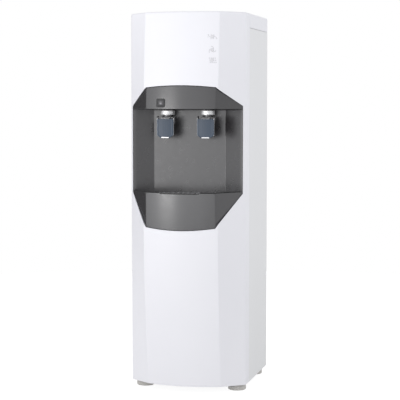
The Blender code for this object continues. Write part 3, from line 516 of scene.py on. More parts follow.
def rounded(profile, radius, closed=False):
    """A (radius, height) profile whose corners are rounded."""
    count = len(profile)
    out = []
    for i, point in enumerate(profile):
        if not closed and i in (0, count - 1):
            out.append(point)
            continue
        before, after = profile[i - 1], profile[(i + 1) % count]
        room = min(dist(before, point), dist(point, after)) * 0.45
        angle = (Vector(before) - Vector(point)).angle(Vector(after) - Vector(point)) / 2
        if angle > radians(87):
            out.append(point)
            continue
        size = min(radius, room * tan(angle))
        out.extend(fillet(before, point, after, size, 4))
    return out


def turned(profile, radius, sides):
    """A solid turned from a profile that starts and ends on the axis, its corners rounded."""
    return lathe(rounded(profile, radius)[1:-1], sides)


def rod(radius, low, high, edge, sides):
    """A round rod along Z with rounded ends."""
    return turned([(0.0, low), (radius, low), (radius, high), (0.0, high)], edge, sides)


def laid(sections, place):
    """Rings in space, from outlines in (u, v), each with its depth and its inset."""
    rings = []
    for outline, depth, inset in sections:
        rings.append([place(u, v, depth) for u, v in offset(outline, inset, closed=True)])
    return rings


def slab(outline, place, low, high, edge=0.0003):
    """A plate with the outline of (u, v) points, its two faces at depths low and high from a surface."""
    sections = [(outline, high, edge), (outline, high, 0.0), (outline, low + edge, 0.0), (outline, low, edge)]
    return solid_of(laid(sections, place))


def ring_slab(outer, inner, place, low, high, edge=0.0003):
    """A flat ring between two (u, v) outlines of equally many points."""
    sections = [(outer, low + edge, 0.0), (outer, low, edge), (inner, low, -edge), (inner, low + edge, 0.0),
                (inner, high, 0.0), (outer, high, 0.0)]
    return solid_of(laid(sections, place), looped=True)


def stroke(points, width):
    """The outline of a line drawn with a width, its ends square."""
    left = offset(points, width / 2)
    right = offset(points, -width / 2)
    return right + left[::-1]


def clean(points, least=0.0004):
    """A closed line without points that nearly coincide."""
    out = []
    for point in points:
        if not out or dist(point, out[-1]) > least:
            out.append(point)
    while dist(out[0], out[-1]) <= least:
        out.pop()
    return out


def order(points):
    """Points of a convex outline, put in order round their middle."""
    middle_x = sum(p[0] for p in points) / len(points)
    middle_y = sum(p[1] for p in points) / len(points)
    return sorted(points, key=lambda p: atan2(p[1] - middle_y, p[0] - middle_x))


def moved(mesh, location, turn=None):
    bmesh.ops.transform(mesh, matrix=Matrix.Translation(location) @ (turn or Matrix()), verts=mesh.verts)
    return mesh


def along_y(mesh, location):
    """A mesh made about Z, laid along +Y with its base at the given place."""
    return moved(mesh, location, Matrix.Rotation(radians(-90), 4, "X"))


def along_x(mesh, location):
    """A mesh made about Z, laid along +X with its base at the given place."""
    return moved(mesh, location, Matrix.Rotation(radians(90), 4, "Y"))


def merged(*meshes):
    """Several meshes in one."""
    whole = bmesh.new()
    for mesh in meshes:
        data = data_of(mesh, "part")
        whole.from_mesh(data)
        bpy.data.meshes.remove(data)
    return whole


# --- the front's shape


def facet_depth(z):
    return FACET_DEPTH - BOW * (z - BOW_Z) ** 2


def smooth_max(a, b, width):
    share = max(0.0, min(1.0, 0.5 + 0.5 * (b - a) / width))
    return a + (b - a) * share + width * share * (1 - share)


def panel_y(x, z):
    return CORNER_Y - facet_depth(z) - BULGE * (1 - (x / PANEL_HALF) ** 2)


def cover_y(x, z):
    """The white cover's face: the centre panel, then a facet, with a softened crease between them."""
    x = abs(x)
    facet = CORNER_Y - facet_depth(z) * (HALF - x) / (HALF - PANEL_HALF)
    return smooth_max(panel_y(x, z), facet, 0.0010)


def insert_y(x, z):
    """The dark bay's front faces."""
    x = abs(x)
    outer_share = (HALF - BAY_SIDE + 2 * SEAM) / (HALF - PANEL_HALF)
    outer_x, outer_y = BAY_SIDE - SEAM, CORNER_Y - facet_depth(z) * outer_share + RECESS / 2
    edge_y = panel_y(BAY_FLAT_HALF, z) + RECESS
    facet = outer_y + (edge_y - outer_y) * (outer_x - x) / (outer_x - BAY_FLAT_HALF)
    return smooth_max(panel_y(x, z) + RECESS, facet, 0.0008)


def bay_outline(inset=0.0, longest=0.006):
    """The octagonal opening in (x, z), with its arched top and bottom edges."""
    shares = [2 * i / 16 - 1 for i in range(17)]
    bottom = [(BAY_FLAT_HALF * s, BAY_LOW - BAY_SAG * (1 - s * s)) for s in shares]
    top = [(-BAY_FLAT_HALF * s, BAY_TOP + BAY_ARCH * (1 - s * s)) for s in shares]
    right = [(BAY_SIDE, BAY_SIDE_LOW), (BAY_SIDE, BAY_SIDE_TOP)]
    left = [(-x, z) for x, z in right[::-1]]
    return subdivided(offset(bottom + right + top + left, inset, closed=True), longest, closed=True)


# --- casing

FLAT_END = 0.1640  # up to here the cover's plan is read straight from x
LIP, LIP_R = 0.0060, 0.0008  # the cover's lip at the seam, and its bend
BASE_R = 0.001  # the round at the cover's lower edge
BAY_RETURN = 0.0095  # how deep the cover turns in round the bay, to meet the dark insert
COVER_SHEET, LID_SHEET = 0.0008, 0.0020
LID_INSET, LID_EDGE = 0.0035, 0.0006  # the lid's inner return, and its lower edge's round


def flank(z):
    """The cover's plan past its facet: the round corner, the side return and the lip at the seam."""
    edge = (PANEL_HALF, CORNER_Y - facet_depth(z))
    corner = fillet(edge, (HALF, CORNER_Y), (HALF, SEAM_Y), CORNER_R, 10)
    start = corner[-1][1]
    line = [(FLAT_END, cover_y(FLAT_END, z))] + corner
    line += [(HALF, start + (SEAM_Y - LIP_R - start) * k / 4) for k in range(1, 4)]
    line += fillet((HALF, start), (HALF, SEAM_Y), (0.0, SEAM_Y), LIP_R, 4)
    line.append((HALF - LIP, SEAM_Y))
    return line


FLANK_STEP = 0.001
FLANK_COUNT = len(flank(BASE)) - 1
SEAM_U = FLAT_END + FLANK_STEP * (FLANK_COUNT - 5.5)  # where the side return ends and turns into the lip
flanks = {}


def cover_plan(u, z):
    side = copysign(1.0, u)
    u = abs(u)
    if u <= FLAT_END:
        return Vector((side * u, cover_y(u, z)))
    key = round(z, 6)
    if key not in flanks:
        flanks[key] = flank(z)
    spot = min((u - FLAT_END) / FLANK_STEP, FLANK_COUNT - 1e-9)
    first = int(spot)
    a, b = flanks[key][first], flanks[key][first + 1]
    share = spot - first
    return Vector((side * (a[0] + (b[0] - a[0]) * share), a[1] + (b[1] - a[1]) * share))


def cover_place(u, v):
    """A point of the cover's outside. Past the top and bottom rows, v runs round the rolled edges."""
    z, inset = v, 0.0
    top = HEIGHT - EDGE_R
    if v > top:
        turn = (v - top) / EDGE_R * pi / 2
        z, inset = top + EDGE_R * sin(turn), EDGE_R * (1 - cos(turn))
    if v < BASE + BASE_R:
        turn = (BASE + BASE_R - v) / BASE_R * pi / 2
        z, inset = BASE + BASE_R * (1 - sin(turn)), BASE_R * (1 - cos(turn))
    spot = cover_plan(u, z)
    if abs(u) > SEAM_U:
        spot.x = copysign(min(abs(spot.x), HALF - inset), u)
    elif inset:
        along = cover_plan(u + 0.0004, z) - cover_plan(u - 0.0004, z)
        spot += Vector((-along.y, along.x)).normalized() * inset
    return Vector((spot.x, spot.y, z))


def lamp_ring(z):
    """The cover's hole round a lamp."""
    radius, slope = LAMP_R + 0.0003, hypot(1, LAMP_SLOPE)
    return [(LAMP_X + radius * cos(t) / slope, z + radius * sin(t)) for t in turns(24)]


def front_cover():
    crease = [PANEL_HALF + d for d in (-0.003, -0.0015, -0.0006, 0.0, 0.0006, 0.0015, 0.003)]
    right = steps(0.0, PANEL_HALF - 0.0045, 0.006) + crease
    right += steps(PANEL_HALF + 0.005, FLAT_END, 0.006)[:-1]
    right += [FLAT_END + FLANK_STEP * k for k in range(FLANK_COUNT + 1)]
    columns = mirrored(right)
    top = HEIGHT - EDGE_R
    rows = [BASE + BASE_R * k / 3 for k in range(3)] + steps(BASE + BASE_R, top, 0.0125)
    rows += [top + EDGE_R * k / 6 for k in range(1, 7)]
    around = [(u, rows[0]) for u in columns] + [(columns[-1], v) for v in rows[1:]]
    around += [(u, rows[-1]) for u in columns[-2::-1]] + [(columns[0], v) for v in rows[-2:0:-1]]
    holes = [Rim(bay_outline(), 0.0010, -1, BAY_RETURN)]
    holes += [Rim(lamp_ring(z), 0.0003, -1) for z in LAMPS.values()]
    outer = Rim(around, 0.0, 1)
    mesh, rings = skin(cover_place, columns[1:-1], rows[1:-1], outer, holes, 0.0004, outer_rim=False)
    high = len(columns) + len(rows) - 2
    cap = rings[0][high:high + len(columns)]
    mesh.faces.new(cap)
    down = [mesh.verts.new(vert.co - Vector((0, 0, 0.006))) for vert in (cap[0], cap[-1])]
    mesh.faces.new((cap[0], cap[-1], down[1], down[0]))
    bmesh.ops.remove_doubles(mesh, verts=mesh.verts, dist=0.00001)
    face_towards(mesh, (0, -1, 0.1))
    finish_mesh("front_cover_shell", mesh, WHITE, "cabinet", ["front_cover"], COVER_SHEET)


def top_cover():
    front = SEAM_Y + SEAM
    plan = [(-HALF, front), (HALF, front)]
    plan += fillet((HALF, front), (HALF, REAR), (-HALF, REAR), 0.010, 10)
    plan += fillet((HALF, REAR), (-HALF, REAR), (-HALF, front), 0.010, 10)
    rows = [(LID_Z + LID_EDGE * (1 - sin(a)), LID_EDGE * (1 - cos(a))) for a in (1.57, 1.05, 0.52)]
    rows += [(LID_Z + LID_EDGE, 0.0)]
    for k in range(9):
        turn = pi / 2 * k / 8
        rows.append((HEIGHT - EDGE_R * (1 - sin(turn)), EDGE_R * (1 - cos(turn))))
    rings = [[(x, y, z) for x, y in offset(plan, LID_INSET, closed=True)] for z in (LID_Z + 0.008, LID_Z)]
    for z, inset in rows:
        ring = offset(plan, inset, closed=True)
        rings.append([(x, max(y, front + min(inset, 0.0008)), z) for x, y in ring])
    mesh, _ = sheet_of(rings, closed=True, cap_last=True)
    outward(mesh)
    mesh.faces.ensure_lookup_table()
    if mesh.faces[-1].normal.z < 0:
        bmesh.ops.reverse_faces(mesh, faces=mesh.faces)
    finish_mesh("top_cover_shell", mesh, WHITE, "lid", ["top_cover"], LID_SHEET)


def side_panel(side, name):
    """A folded sheet: a front return, the side, a round rear corner and a rear flange with its hem."""
    x = side * HALF
    front, rear = SEAM_Y + SEAM, REAR
    line = [(side * (HALF - 0.010), front + 0.0002)]
    line += fillet((0.0, front), (x, front), (x, rear), 0.0010, 4)
    line += fillet((x, front), (x, rear), (0.0, rear), 0.010, 10)
    hem = ((0.016, 0.0), (0.0164, 0.0012), (0.0155, 0.0020))
    line += [(side * (HALF - across), rear - depth) for across, depth in hem]
    mesh, _ = sheet_of([[(px, py, z) for px, py in line] for z in (BASE, LID_Z - SEAM)])
    outward(mesh)
    widest = max(mesh.faces, key=lambda face: face.calc_area())
    if widest.normal.x * side < 0:
        bmesh.ops.reverse_faces(mesh, faces=mesh.faces)
    finish_mesh(f"{name}_sheet", mesh, STEEL_WHITE, "cabinet", [name], SHEET)


# --- dispensing bay

WALL_LOW, COVE = 0.5345, 0.006  # where the bay's walls start, and the round under its ceiling
BROW_SHEET, BACK_SHEET, PAN_SHEET, APRON_SHEET = 0.0016, 0.0018, 0.0014, 0.0012
# The pan's section, from its outer edge inwards: inset and height
PAN = [(0.0, 0.5362), (0.003, 0.5362), (0.0045, 0.5354), (0.0085, 0.5354), (0.010, 0.5362), (0.012, 0.5362)]


def insert_sheet(outline, rows, rim, holes=()):
    """A sheet of the dark insert's front, with finer columns at its two creases."""

    def place(u, v):
        return Vector((u, insert_y(u, v), v))

    creases = [BAY_FLAT_HALF + d for d in (-0.002, -0.0008, 0.0, 0.0008, 0.002)]
    right = steps(0.0, BAY_FLAT_HALF - 0.003, 0.005) + creases + steps(BAY_FLAT_HALF + 0.004, BAY_SIDE, 0.005)
    mesh, _ = skin(place, mirrored(right), rows, Rim(outline, *rim), list(holes), 0.0007)
    face_towards(mesh, (0, -1, 0))
    return mesh


def brow_outline():
    upper = [(x, z) for x, z in bay_outline(SEAM) if z > BROW_LOW + 0.0003]
    upper.sort(key=lambda p: atan2(p[1] - 0.80, p[0]))
    return [(x, BROW_LOW) for x in steps(SEAM - BAY_SIDE, BAY_SIDE - SEAM, 0.006)] + upper


def bay_brow():
    hole = [(LOCK_X + x, LOCK_Z + z) for x, z in button_outline(0.0003, 0.004, 6)]
    lock = Rim(hole, 0.0006, -1, 0.007)
    mesh = insert_sheet(brow_outline(), steps(BROW_LOW, 0.88, 0.005), (0.0014, 1, 0.007), [lock])
    finish_mesh("bay_brow", mesh, BROW, "cabinet", thickness=BROW_SHEET)


def bay_shell():
    """The bay's back, wings and ceiling, with coved corners, and the pan under the drip tray."""
    end = BAY_SIDE - 2 * SEAM
    left = fillet((-end, WING_Y), (-BACK_HALF, BACK_Y), (0.0, BACK_Y), 0.005, 6)
    right = [(-x, y) for x, y in left[::-1]]
    line = subdivided([(-end, WING_Y)] + left + right + [(end, WING_Y)], 0.010)
    ceiling = BROW_LOW + 0.0008
    reach = [insert_y(x, BROW_LOW) + 0.0022 for x, _ in line]
    rooms = [min(COVE, max(0.0003, y - edge - 0.001)) for (_, y), edge in zip(line, reach)]
    rings = [[(x, y, WALL_LOW) for x, y in line]]
    for k in range(9):
        turn = pi / 2 * k / 8
        z = ceiling - COVE + COVE * sin(turn)
        rings.append([(x, y - room * (1 - cos(turn)), z) for (x, y), room in zip(line, rooms)])
    fronts = [min(edge, y - room - 0.0003) for (_, y), edge, room in zip(line, reach, rooms)]
    rings.append([(x, front, ceiling) for (x, _), front in zip(line, fronts)])
    mesh, _ = sheet_of(rings)
    face_towards(mesh, (0, -1, 0))
    finish_mesh("bay_back", mesh, DARK, "cabinet", ["bay_housing"], BACK_SHEET)
    floor = quad(-0.097, -0.164, 0.097, BACK_Y + 0.001)
    rings = [[(x, y, z) for x, y in offset(floor, inset, closed=True)] for inset, z in PAN]
    mesh, _ = sheet_of(rings, closed=True, cap_last=True)
    face_towards(mesh, (0, 0, 1))
    finish_mesh("bay_pan", mesh, DARK, "cabinet", thickness=PAN_SHEET)


def button_outline(grow, radius, corner_steps=8):
    """The lock button's round-cornered outline about its middle, grown or shrunk."""
    half_x, half_z = LOCK_HALF_X + grow, LOCK_HALF_Z + grow
    points = []
    for quarter, (sx, sy) in enumerate(((1, 1), (-1, 1), (-1, -1), (1, -1))):
        for step in range(corner_steps + 1):
            turn = pi / 2 * (quarter + step / corner_steps)
            x = sx * (half_x - radius) + radius * cos(turn)
            z = sy * (half_z - radius) + radius * sin(turn)
            points.append((x, z))
    return points


def apron_outline():
    """The apron's outline, with the shallow finger notch in its top edge."""
    lower = [(x, z) for x, z in bay_outline(SEAM) if z < APRON_TOP - 0.0003]
    lower.sort(key=lambda p: atan2(p[0], -(p[1] - 0.60)))
    notch_low, notch_half, slope = APRON_TOP - 0.0030, 0.0545, 0.004
    top = [(x, APRON_TOP) for x in steps(notch_half + slope, BAY_SIDE - SEAM, 0.006)][::-1]
    dip = []
    for k in range(7):
        share = cos(pi * k / 6)
        dip.append((notch_half + slope * share * 0.5 + slope * 0.5, notch_low + 0.003 * (0.5 + 0.5 * share)))
    floor = [(x, notch_low) for x in steps(-notch_half + 0.003, notch_half - 0.003, 0.006)][::-1]
    left = [(-x, z) for x, z in (top + dip)[::-1]]
    return lower + top[:-1] + dip + floor + left


def drip_tray_front():
    mesh = insert_sheet(clean(apron_outline()), steps(0.468, APRON_TOP, 0.005), (0.0010, 1, 0.0028))
    replaced = ["drip_tray_front"]
    finish_mesh("drip_tray_apron", mesh, APRON, "drip_drawer", replaced, APRON_SHEET)


# --- small things on the front


def lock_button():
    """The hot water lock: a dark ring, a paler face and a padlock sign."""
    slope = (insert_y(LOCK_X + 0.001, LOCK_Z) - insert_y(LOCK_X - 0.001, LOCK_Z)) / 0.002

    def place(u, v, depth):
        return Vector((LOCK_X + u, insert_y(LOCK_X, LOCK_Z) + slope * u + depth, LOCK_Z + v))

    def piece(part, mesh, finish, replaced=()):
        finish_mesh(f"hot_lock_button_{part}", mesh, finish, "lock_button", replaced)

    ring = ring_slab(button_outline(0.0, 0.0045), button_outline(-0.0042, 0.0022), place, -0.0012, 0.0070)
    piece("ring", ring, RING, ["hot_lock_button"])
    piece("face", slab(button_outline(-0.0044, 0.0021), place, -0.0005, 0.0060), FACE)
    arc = [(0.0021 * cos(t * pi / 12), 0.0016 + 0.0022 * sin(t * pi / 12)) for t in range(13)]
    shackle = stroke([(0.0021, 0.0001)] + arc + [(-0.0021, 0.0001)], 0.0010)
    outlines = (quad(-0.0030, -0.0040, 0.0030, 0.0002), shackle)
    piece("sign", merged(*[slab(outline, place, -0.00072, -0.0004, 0.0001) for outline in outlines]), SYMBOL)


def lamp_signs():
    """Plain signs over the lamps: rising heat, a cold swirl and rows of small marks."""
    meshes = []

    def sign(lamp, outline):
        middle = LAMPS[lamp]

        def place(u, v, depth):
            return Vector((LAMP_X + u, cover_y(LAMP_X + u, middle + v) + depth, middle + v))

        meshes.append(slab(outline, place, -0.00008, 0.0004, 0.00002))

    for shift in (-0.0072, 0.0, 0.0072):
        wave = [(shift + 0.0026 * sin(k * pi / 6) + 0.0004 * (6 - k), 0.0011 * (k - 6)) for k in range(13)]
        sign("heating_lamp_lens", stroke(wave[::-1], 0.0016))
    for u, v in ((-0.0115, 0.0052), (0.0118, -0.0055), (-0.0122, -0.0010)):
        dash = [(u + 0.0018, v - 0.0006), (u - 0.0018, v + 0.0006)]
        sign("heating_lamp_lens", stroke(dash, 0.0012))
    for start in (0.0, 2 * pi / 3, 4 * pi / 3):
        arm = []
        for k in range(13):
            turn, reach = start + k * 0.16, 0.0020 + 0.00072 * k
            arm.append((reach * cos(turn), reach * sin(turn)))
        sign("cooling_lamp_lens", stroke(arm[::-1], 0.0019))
    for row in range(3):
        for column in range(4):
            u, v = -0.0080 + 0.0050 * column + 0.0012 * row, 0.0058 - 0.0058 * row
            sign("ready_lamp_lens", quad(u, v - 0.0015, u + 0.0034, v + 0.0015))
    finish_mesh("lamp_signs", merged(*meshes), PRINT, "cabinet")


def lamp_lenses():
    turn = Matrix.Rotation(atan(LAMP_SLOPE), 4, "Z") @ Matrix.Rotation(radians(90), 4, "X")
    for name, z in LAMPS.items():
        disc = moved(rod(LAMP_R, -0.0018, 0.0002, 0.0003, 48), (LAMP_X, cover_y(LAMP_X, z), z), turn)
        finish_mesh(f"{name}_disc", disc, LENS, "cabinet", [name])


# --- taps

LEVER_FRONT, LEVER_BACK = -0.1340, -0.1308
LEVER_HALF, LEVER_LOW, LEVER_TOP = 0.0250, 0.7290, 0.7845
PADDLE_HALF, PADDLE_LOW, PADDLE_TOP = 0.0245, 0.7296, 0.7842
PADDLE_FRONT, PADDLE_BACK = -0.1350, -0.1322
PADDLE_SHOULDER = 0.7790  # above this the paddle's sides draw in
# Profiles turned about each tap's axis: radius and height
SHELL = [
    (0.0076, 0.7604), (0.0115, 0.7602), (0.0130, 0.7625), (0.0130, 0.7690), (0.0122, 0.7698),
    (0.0122, 0.7722), (0.0130, 0.7730), (0.0130, 0.7945), (0.0076, 0.7945),
]
WASHER = [(0.0, 0.0), (0.0160, 0.0), (0.0160, 0.0020), (0.0118, 0.0029), (0.0, 0.0029)]
CAP_DOME = [
    (0.0, 0.7950), (0.0185, 0.7950), (0.0200, 0.7962), (0.0200, 0.8068), (0.0185, 0.8092),
    (0.0135, 0.8109), (0.0, 0.8111),
]
SPOUT = [
    (0.0060, 0.7426), (0.0085, 0.7426), (0.0095, 0.7450), (0.0098, 0.7500), (0.0092, 0.7506),
    (0.0092, 0.7516), (0.0099, 0.7522), (0.0105, 0.7596), (0.0060, 0.7596),
]


def lever_outline(inset=0.0):
    """The lever frame's outline about its middle, with its two lower corners cut off."""
    points = [(-0.0125, LEVER_LOW), (0.0125, LEVER_LOW), (LEVER_HALF, 0.7375), (LEVER_HALF, LEVER_TOP)]
    points += [(-LEVER_HALF, LEVER_TOP), (-LEVER_HALF, 0.7375)]
    return offset(points, inset, closed=True)


def tap_lever(x, name):
    """A thin chrome frame with cheeks that reach back to the pivot, a bright foot strip and a top bar."""

    def flat(u, v, depth):
        return Vector((x + u, depth, v))

    meshes = [ring_slab(lever_outline(), lever_outline(0.0028), flat, LEVER_FRONT, LEVER_BACK, 0.0004)]
    strip_top = LEVER_LOW + 0.0040
    strip = [(-0.0108, LEVER_LOW), (0.0108, LEVER_LOW), (0.0122, strip_top), (-0.0122, strip_top)]
    meshes.append(slab(strip, flat, -0.1368, LEVER_FRONT + 0.0002, 0.0006))
    meshes.append(slab(quad(-0.0120, 0.7838, 0.0120, 0.7852), flat, -0.1364, -0.1315, 0.0005))
    cheek = [(-0.1340, 0.7400), (-0.1312, 0.7380), (-0.1300, 0.7745), (-0.1190, 0.7800), (-0.1175, 0.7830)]
    cheek += [(-0.1175, 0.7905), (-0.1195, 0.7922), (-0.1290, 0.7922), (-0.1340, 0.7830)]
    for side in (-1, 1):

        def upright(u, v, depth):
            return Vector((x + side * depth, u, v))

        meshes.append(slab(cheek, upright, 0.0230, 0.0249, 0.0003))
    body = f"{name}_lever"
    finish_mesh(f"{name}_tap_lever_frame", merged(*meshes), LEVER, body, [f"{name}_tap_lever"])


def tap_paddle(x, name):
    """The smoked push plate, slightly crowned, with a moulded rib down each side."""
    columns = [PADDLE_HALF * (k / 16 - 1) for k in range(33)]
    rows = steps(PADDLE_LOW, PADDLE_TOP, 0.0025)
    mesh = bmesh.new()
    front, back = [], []
    for v in rows:
        crown = PADDLE_HALF - 0.0022 * max(0.0, (v - PADDLE_SHOULDER) / (PADDLE_TOP - PADDLE_SHOULDER)) ** 2
        reach = min(crown, 0.0126 + (v - PADDLE_LOW) * 1.45)
        front.append([])
        back.append([])
        for u in columns:
            share = u / columns[-1]
            spot = share * reach
            rib = 0.0005 * exp(-(((abs(share) - 0.86) / 0.05) ** 2))
            flute = 0.00010 * cos(share * 22 * pi)
            y = PADDLE_FRONT - 0.0012 * (1 - share * share) - rib - flute
            front[-1].append(mesh.verts.new((x + spot, y, v)))
            back[-1].append(mesh.verts.new((x + spot, PADDLE_BACK, v)))
    for a, b in zip(front, front[1:]):
        bridge(mesh, a, b, closed=False)
    for a, b in zip(back, back[1:]):
        bridge(mesh, b, a, closed=False)
    for side in (0, -1):
        bridge(mesh, [row[side] for row in front], [row[side] for row in back], closed=False)
    for end in (0, -1):
        bridge(mesh, front[end], back[end], closed=False)
    outward(mesh)
    body, replaced = f"{name}_lever", [f"{name}_tap_paddle"]
    finish_mesh(f"{name}_tap_paddle_plate", mesh, SMOKED, body, replaced, bevel=0.0004)


def tap(side, name):
    x = side * TAP_X

    def upright(u, v, depth):
        return Vector((x + depth, u, v))

    def piece(part, suffix, mesh, finish, slot):
        node = f"{name}_tap_{part}"
        finish_mesh(f"{node}_{suffix}", mesh, finish, "cabinet", [node])

    shell = moved(lathe(rounded(SHELL, 0.0007, closed=True), 64, looped=True), (x, TAP_Y, 0.0))
    forward = Matrix.Rotation(radians(90), 4, "X")
    washer = moved(turned(WASHER, 0.0006, 64), (x, BACK_Y - 0.0004, SHANK_Z), forward)
    neck = along_y(rod(0.0072, 0.0, 0.0100, 0.0004, 48), (x, TAP_Y + 0.0105, SHANK_Z))
    lug_back, lug_r = TAP_Y - 0.0085, 0.0044
    round_end = [(lug_r * cos(t * pi / 12), lug_r * sin(t * pi / 12)) for t in range(-6, 7)]
    eye = [(2 * PIVOT_Y - (PIVOT_Y + u), PIVOT_Z - v) for u, v in round_end]
    eye += [(lug_back, PIVOT_Z + lug_r), (lug_back, PIVOT_Z - lug_r)]
    lug = slab(order(eye), upright, -0.0130, 0.0130, 0.0006)
    # The body is the darkened chrome: painted shade
    piece("body", "shell", merged(shell, washer, neck, lug), SHADED_CHROME, "chrome")
    piece("cap", "dome", moved(turned(CAP_DOME, 0.0012, 72), (x, TAP_Y, 0.0)), CAP, "chrome")
    spout = moved(lathe(rounded(SPOUT, 0.0006, closed=True), 56, looped=True), (x, TAP_Y, 0.0))
    piece("spout", "tube", spout, BLACK, "black_plastic")
    pin = along_x(rod(0.0015, -0.0257, 0.0257, 0.0005, 24), (x, PIVOT_Y, PIVOT_Z))
    piece("pin", "rod", pin, STAINLESS, "stainless_steel")
    tap_lever(x, name)
    tap_paddle(x, name)


# --- tray, feet and back

# Sections: the painted-shade strip's depth and height, the others' radius and height
SHADE_STRIP = [
    (-0.0009, 0.5705), (-0.0009, 0.5785), (-0.0003, 0.5793),
    (0.0003, 0.5793), (0.0009, 0.5785), (0.0009, 0.5705),
]
FOOT_PROFILE = [
    (0.0, 0.0), (0.0238, 0.0), (0.0260, 0.0020), (0.0260, 0.0104), (0.0232, 0.0160), (0.0150, 0.0172),
    (0.0120, 0.0180), (0.0120, 0.0216), (0.0, 0.0216),
]
FEET = {
    "front_left_foot": ((-0.138, -0.069), "foot_front_left"),
    "front_right_foot": ((0.138, -0.069), "foot_front_right"),
    "rear_left_foot": ((-0.138, 0.165), "foot_rear_left"),
    "rear_right_foot": ((0.138, 0.165), "foot_rear_right"),
}
CONDENSER_Y, CONDENSER_TUBE_R = 0.1920, 0.0028
SCREW = [(0.0, 0.0), (0.0036, 0.0), (0.0036, 0.0010), (0.0022, 0.0020), (0.0, 0.0022)]


def tray_shade_strip():
    """A black strip along the drip tray's front, on both sides of the finger notch: painted shade standing in
    for the dark gap behind the apron.
    """
    meshes = []
    for side in (-1, 1):
        line = [(side * x, insert_y(x, APRON_TOP) + 0.0044) for x in steps(0.0600, 0.1560, 0.004)]
        # The strip stands just behind the apron's top edge, where the gap is in shade: painted shade
        mesh, rows = sheet_of([[(x, y + reach, z) for x, y in line] for reach, z in SHADE_STRIP])
        for end in (0, -1):
            mesh.faces.new([row[end] for row in rows])
        bridge(mesh, rows[-1], rows[0], closed=False)
        outward(mesh)
        meshes.append(mesh)
    finish_mesh("drip_tray_shade_strip", merged(*meshes), GAP_SHADE_BLACK, "drip_drawer")


def feet():
    """Levelling feet with a ribbed rim, a stepped top and a threaded stud."""
    stud = [(0.0045 - (0.0005 if k % 2 else 0.0), 0.0215 + 0.00075 * k) for k in range(29)]
    for name, ((x, y), body) in FEET.items():
        mesh = turned(FOOT_PROFILE, 0.0009, 144)
        for vert in mesh.verts:
            reach = hypot(vert.co.x, vert.co.y)
            if reach > 0.0235 and 0.0018 < vert.co.z < 0.0130:
                turn = atan2(vert.co.y, vert.co.x)
                vert.co.xy *= 1 - 0.022 * (0.5 - 0.5 * cos(36 * turn))
        whole = moved(merged(mesh, lathe(stud, 24)), (x, y, 0.0))
        finish_mesh(f"{name}_pad", whole, FOOT, body, [name], smooth=50)


def condenser_wires():
    """The cooling wires welded to both sides of the condenser, and its four brackets."""
    wires, brackets = [], []
    for side in (-1, 1):
        for k in range(31):
            wire = rod(0.0008, 0.2780, 0.6380, 0.0003, 8)
            wires.append(moved(wire, (-0.1155 + 0.0077 * k, CONDENSER_Y + side * 0.0035, 0.0)))
    finish_mesh("condenser_wires", merged(*wires), BLACK_PAINT, "cabinet")
    for x in (-0.100, 0.100):
        for z in (0.3140, 0.6020):

            def level(u, v, depth):
                return Vector((u, v, z + depth))

            brackets.append(slab(quad(x - 0.009, 0.1782, x + 0.009, 0.1794), level, -0.009, 0.009))
            brackets.append(slab(quad(x - 0.0012, 0.1790, x + 0.0012, 0.1880), level, -0.007, 0.007))
    finish_mesh("condenser_brackets", merged(*brackets), BLACK_PAINT, "cabinet")


def condenser_ends():
    """The two bends that take the condenser's tube through the rear panel."""
    corner, through = (-0.1340, CONDENSER_Y), (-0.1340, 0.1785)
    path = [(-0.1247, CONDENSER_Y), (-0.1275, CONDENSER_Y)]
    path += fillet(path[-1], corner, through, 0.0060, 8) + [through]
    meshes = []
    for z in (0.290, 0.626):
        rings = []
        for index, (x, y) in enumerate(path):
            ahead, behind = path[min(index + 1, len(path) - 1)], path[max(index - 1, 0)]
            along = Vector((ahead[0] - behind[0], ahead[1] - behind[1])).normalized()
            ring = []
            for t in turns(16):
                out, up = CONDENSER_TUBE_R * cos(t), CONDENSER_TUBE_R * sin(t)
                ring.append((x - along.y * out, y + along.x * out, z + up))
            rings.append(ring)
        meshes.append(solid_of(rings))
    finish_mesh("condenser_ends", merged(*meshes), BLACK_PAINT, "cabinet")


def rear_screws():
    """Pan head screws round the rear panel, each with a black cross on its head: painted shade standing in
    for a cross recess.
    """
    face = REAR_PANEL_Y + SHEET
    meshes, recess_shades = [], []
    for x, z in [(side * 0.150, z) for side in (-1, 1) for z in (0.070, 0.250, 0.450, 0.650, 0.850, 1.020)]:
        meshes.append(along_y(turned(SCREW, 0.0005, 24), (x, face, z)))

        def flat(u, v, depth):
            return Vector((x - u, face + depth, z + v))

        # A thin black cross on the head: painted shade of the cross recess
        for half_u, half_v in ((0.0018, 0.0004), (0.0004, 0.0018)):
            recess_shades.append(slab(quad(-half_u, -half_v, half_u, half_v), flat, 0.0018, 0.00225, 0.00005))
    finish_mesh("rear_screws", merged(*meshes), ZINC_DARK, "cabinet")
    finish_mesh("rear_screw_recess_shades", merged(*recess_shades), BLACK, "cabinet")


# --- camera, light and floor

LENS_MM, SENSOR_MM = 119.1, 36.0
CAMERA_PLACE, CAMERA_YAW, CAMERA_PITCH = (0.956, -3.779, 0.835), 14.06, 4.28
WORLD_COLOUR, WORLD_BASE = (0.97, 0.98, 1.0, 1.0), 0.72
# Soft bright and dark patches round the studio: azimuth and elevation in degrees, sharpness, strength
GLOWS = (
    (-35.0, -2.0, 9.0, 1.35),
    (-124.0, 0.0, 7.0, -0.70),
    (10.0, -4.0, 14.0, 0.77),
    (-80.0, 20.0, 6.0, 0.25),
    (130.0, 10.0, 10.0, 0.85),
    (-10.0, -5.0, 14.0, 0.25),
    (80.0, 30.0, 4.0, 0.2),
)
KEY_PLACE, KEY_TARGET, KEY_SIZE = (-1.59, -3.12, 0.68), (0.0, -0.1, 0.60), 1.0
KEY_POWER, KEY_COLOUR = 10.0, (1.0, 0.985, 0.97)
FLOOR_RADIUS, FLOOR_GLOW, FLOOR_SEEN = 2.6, 0.24, 0.90
PURE_WHITE = (1.0, 1.0, 1.0, 1.0)


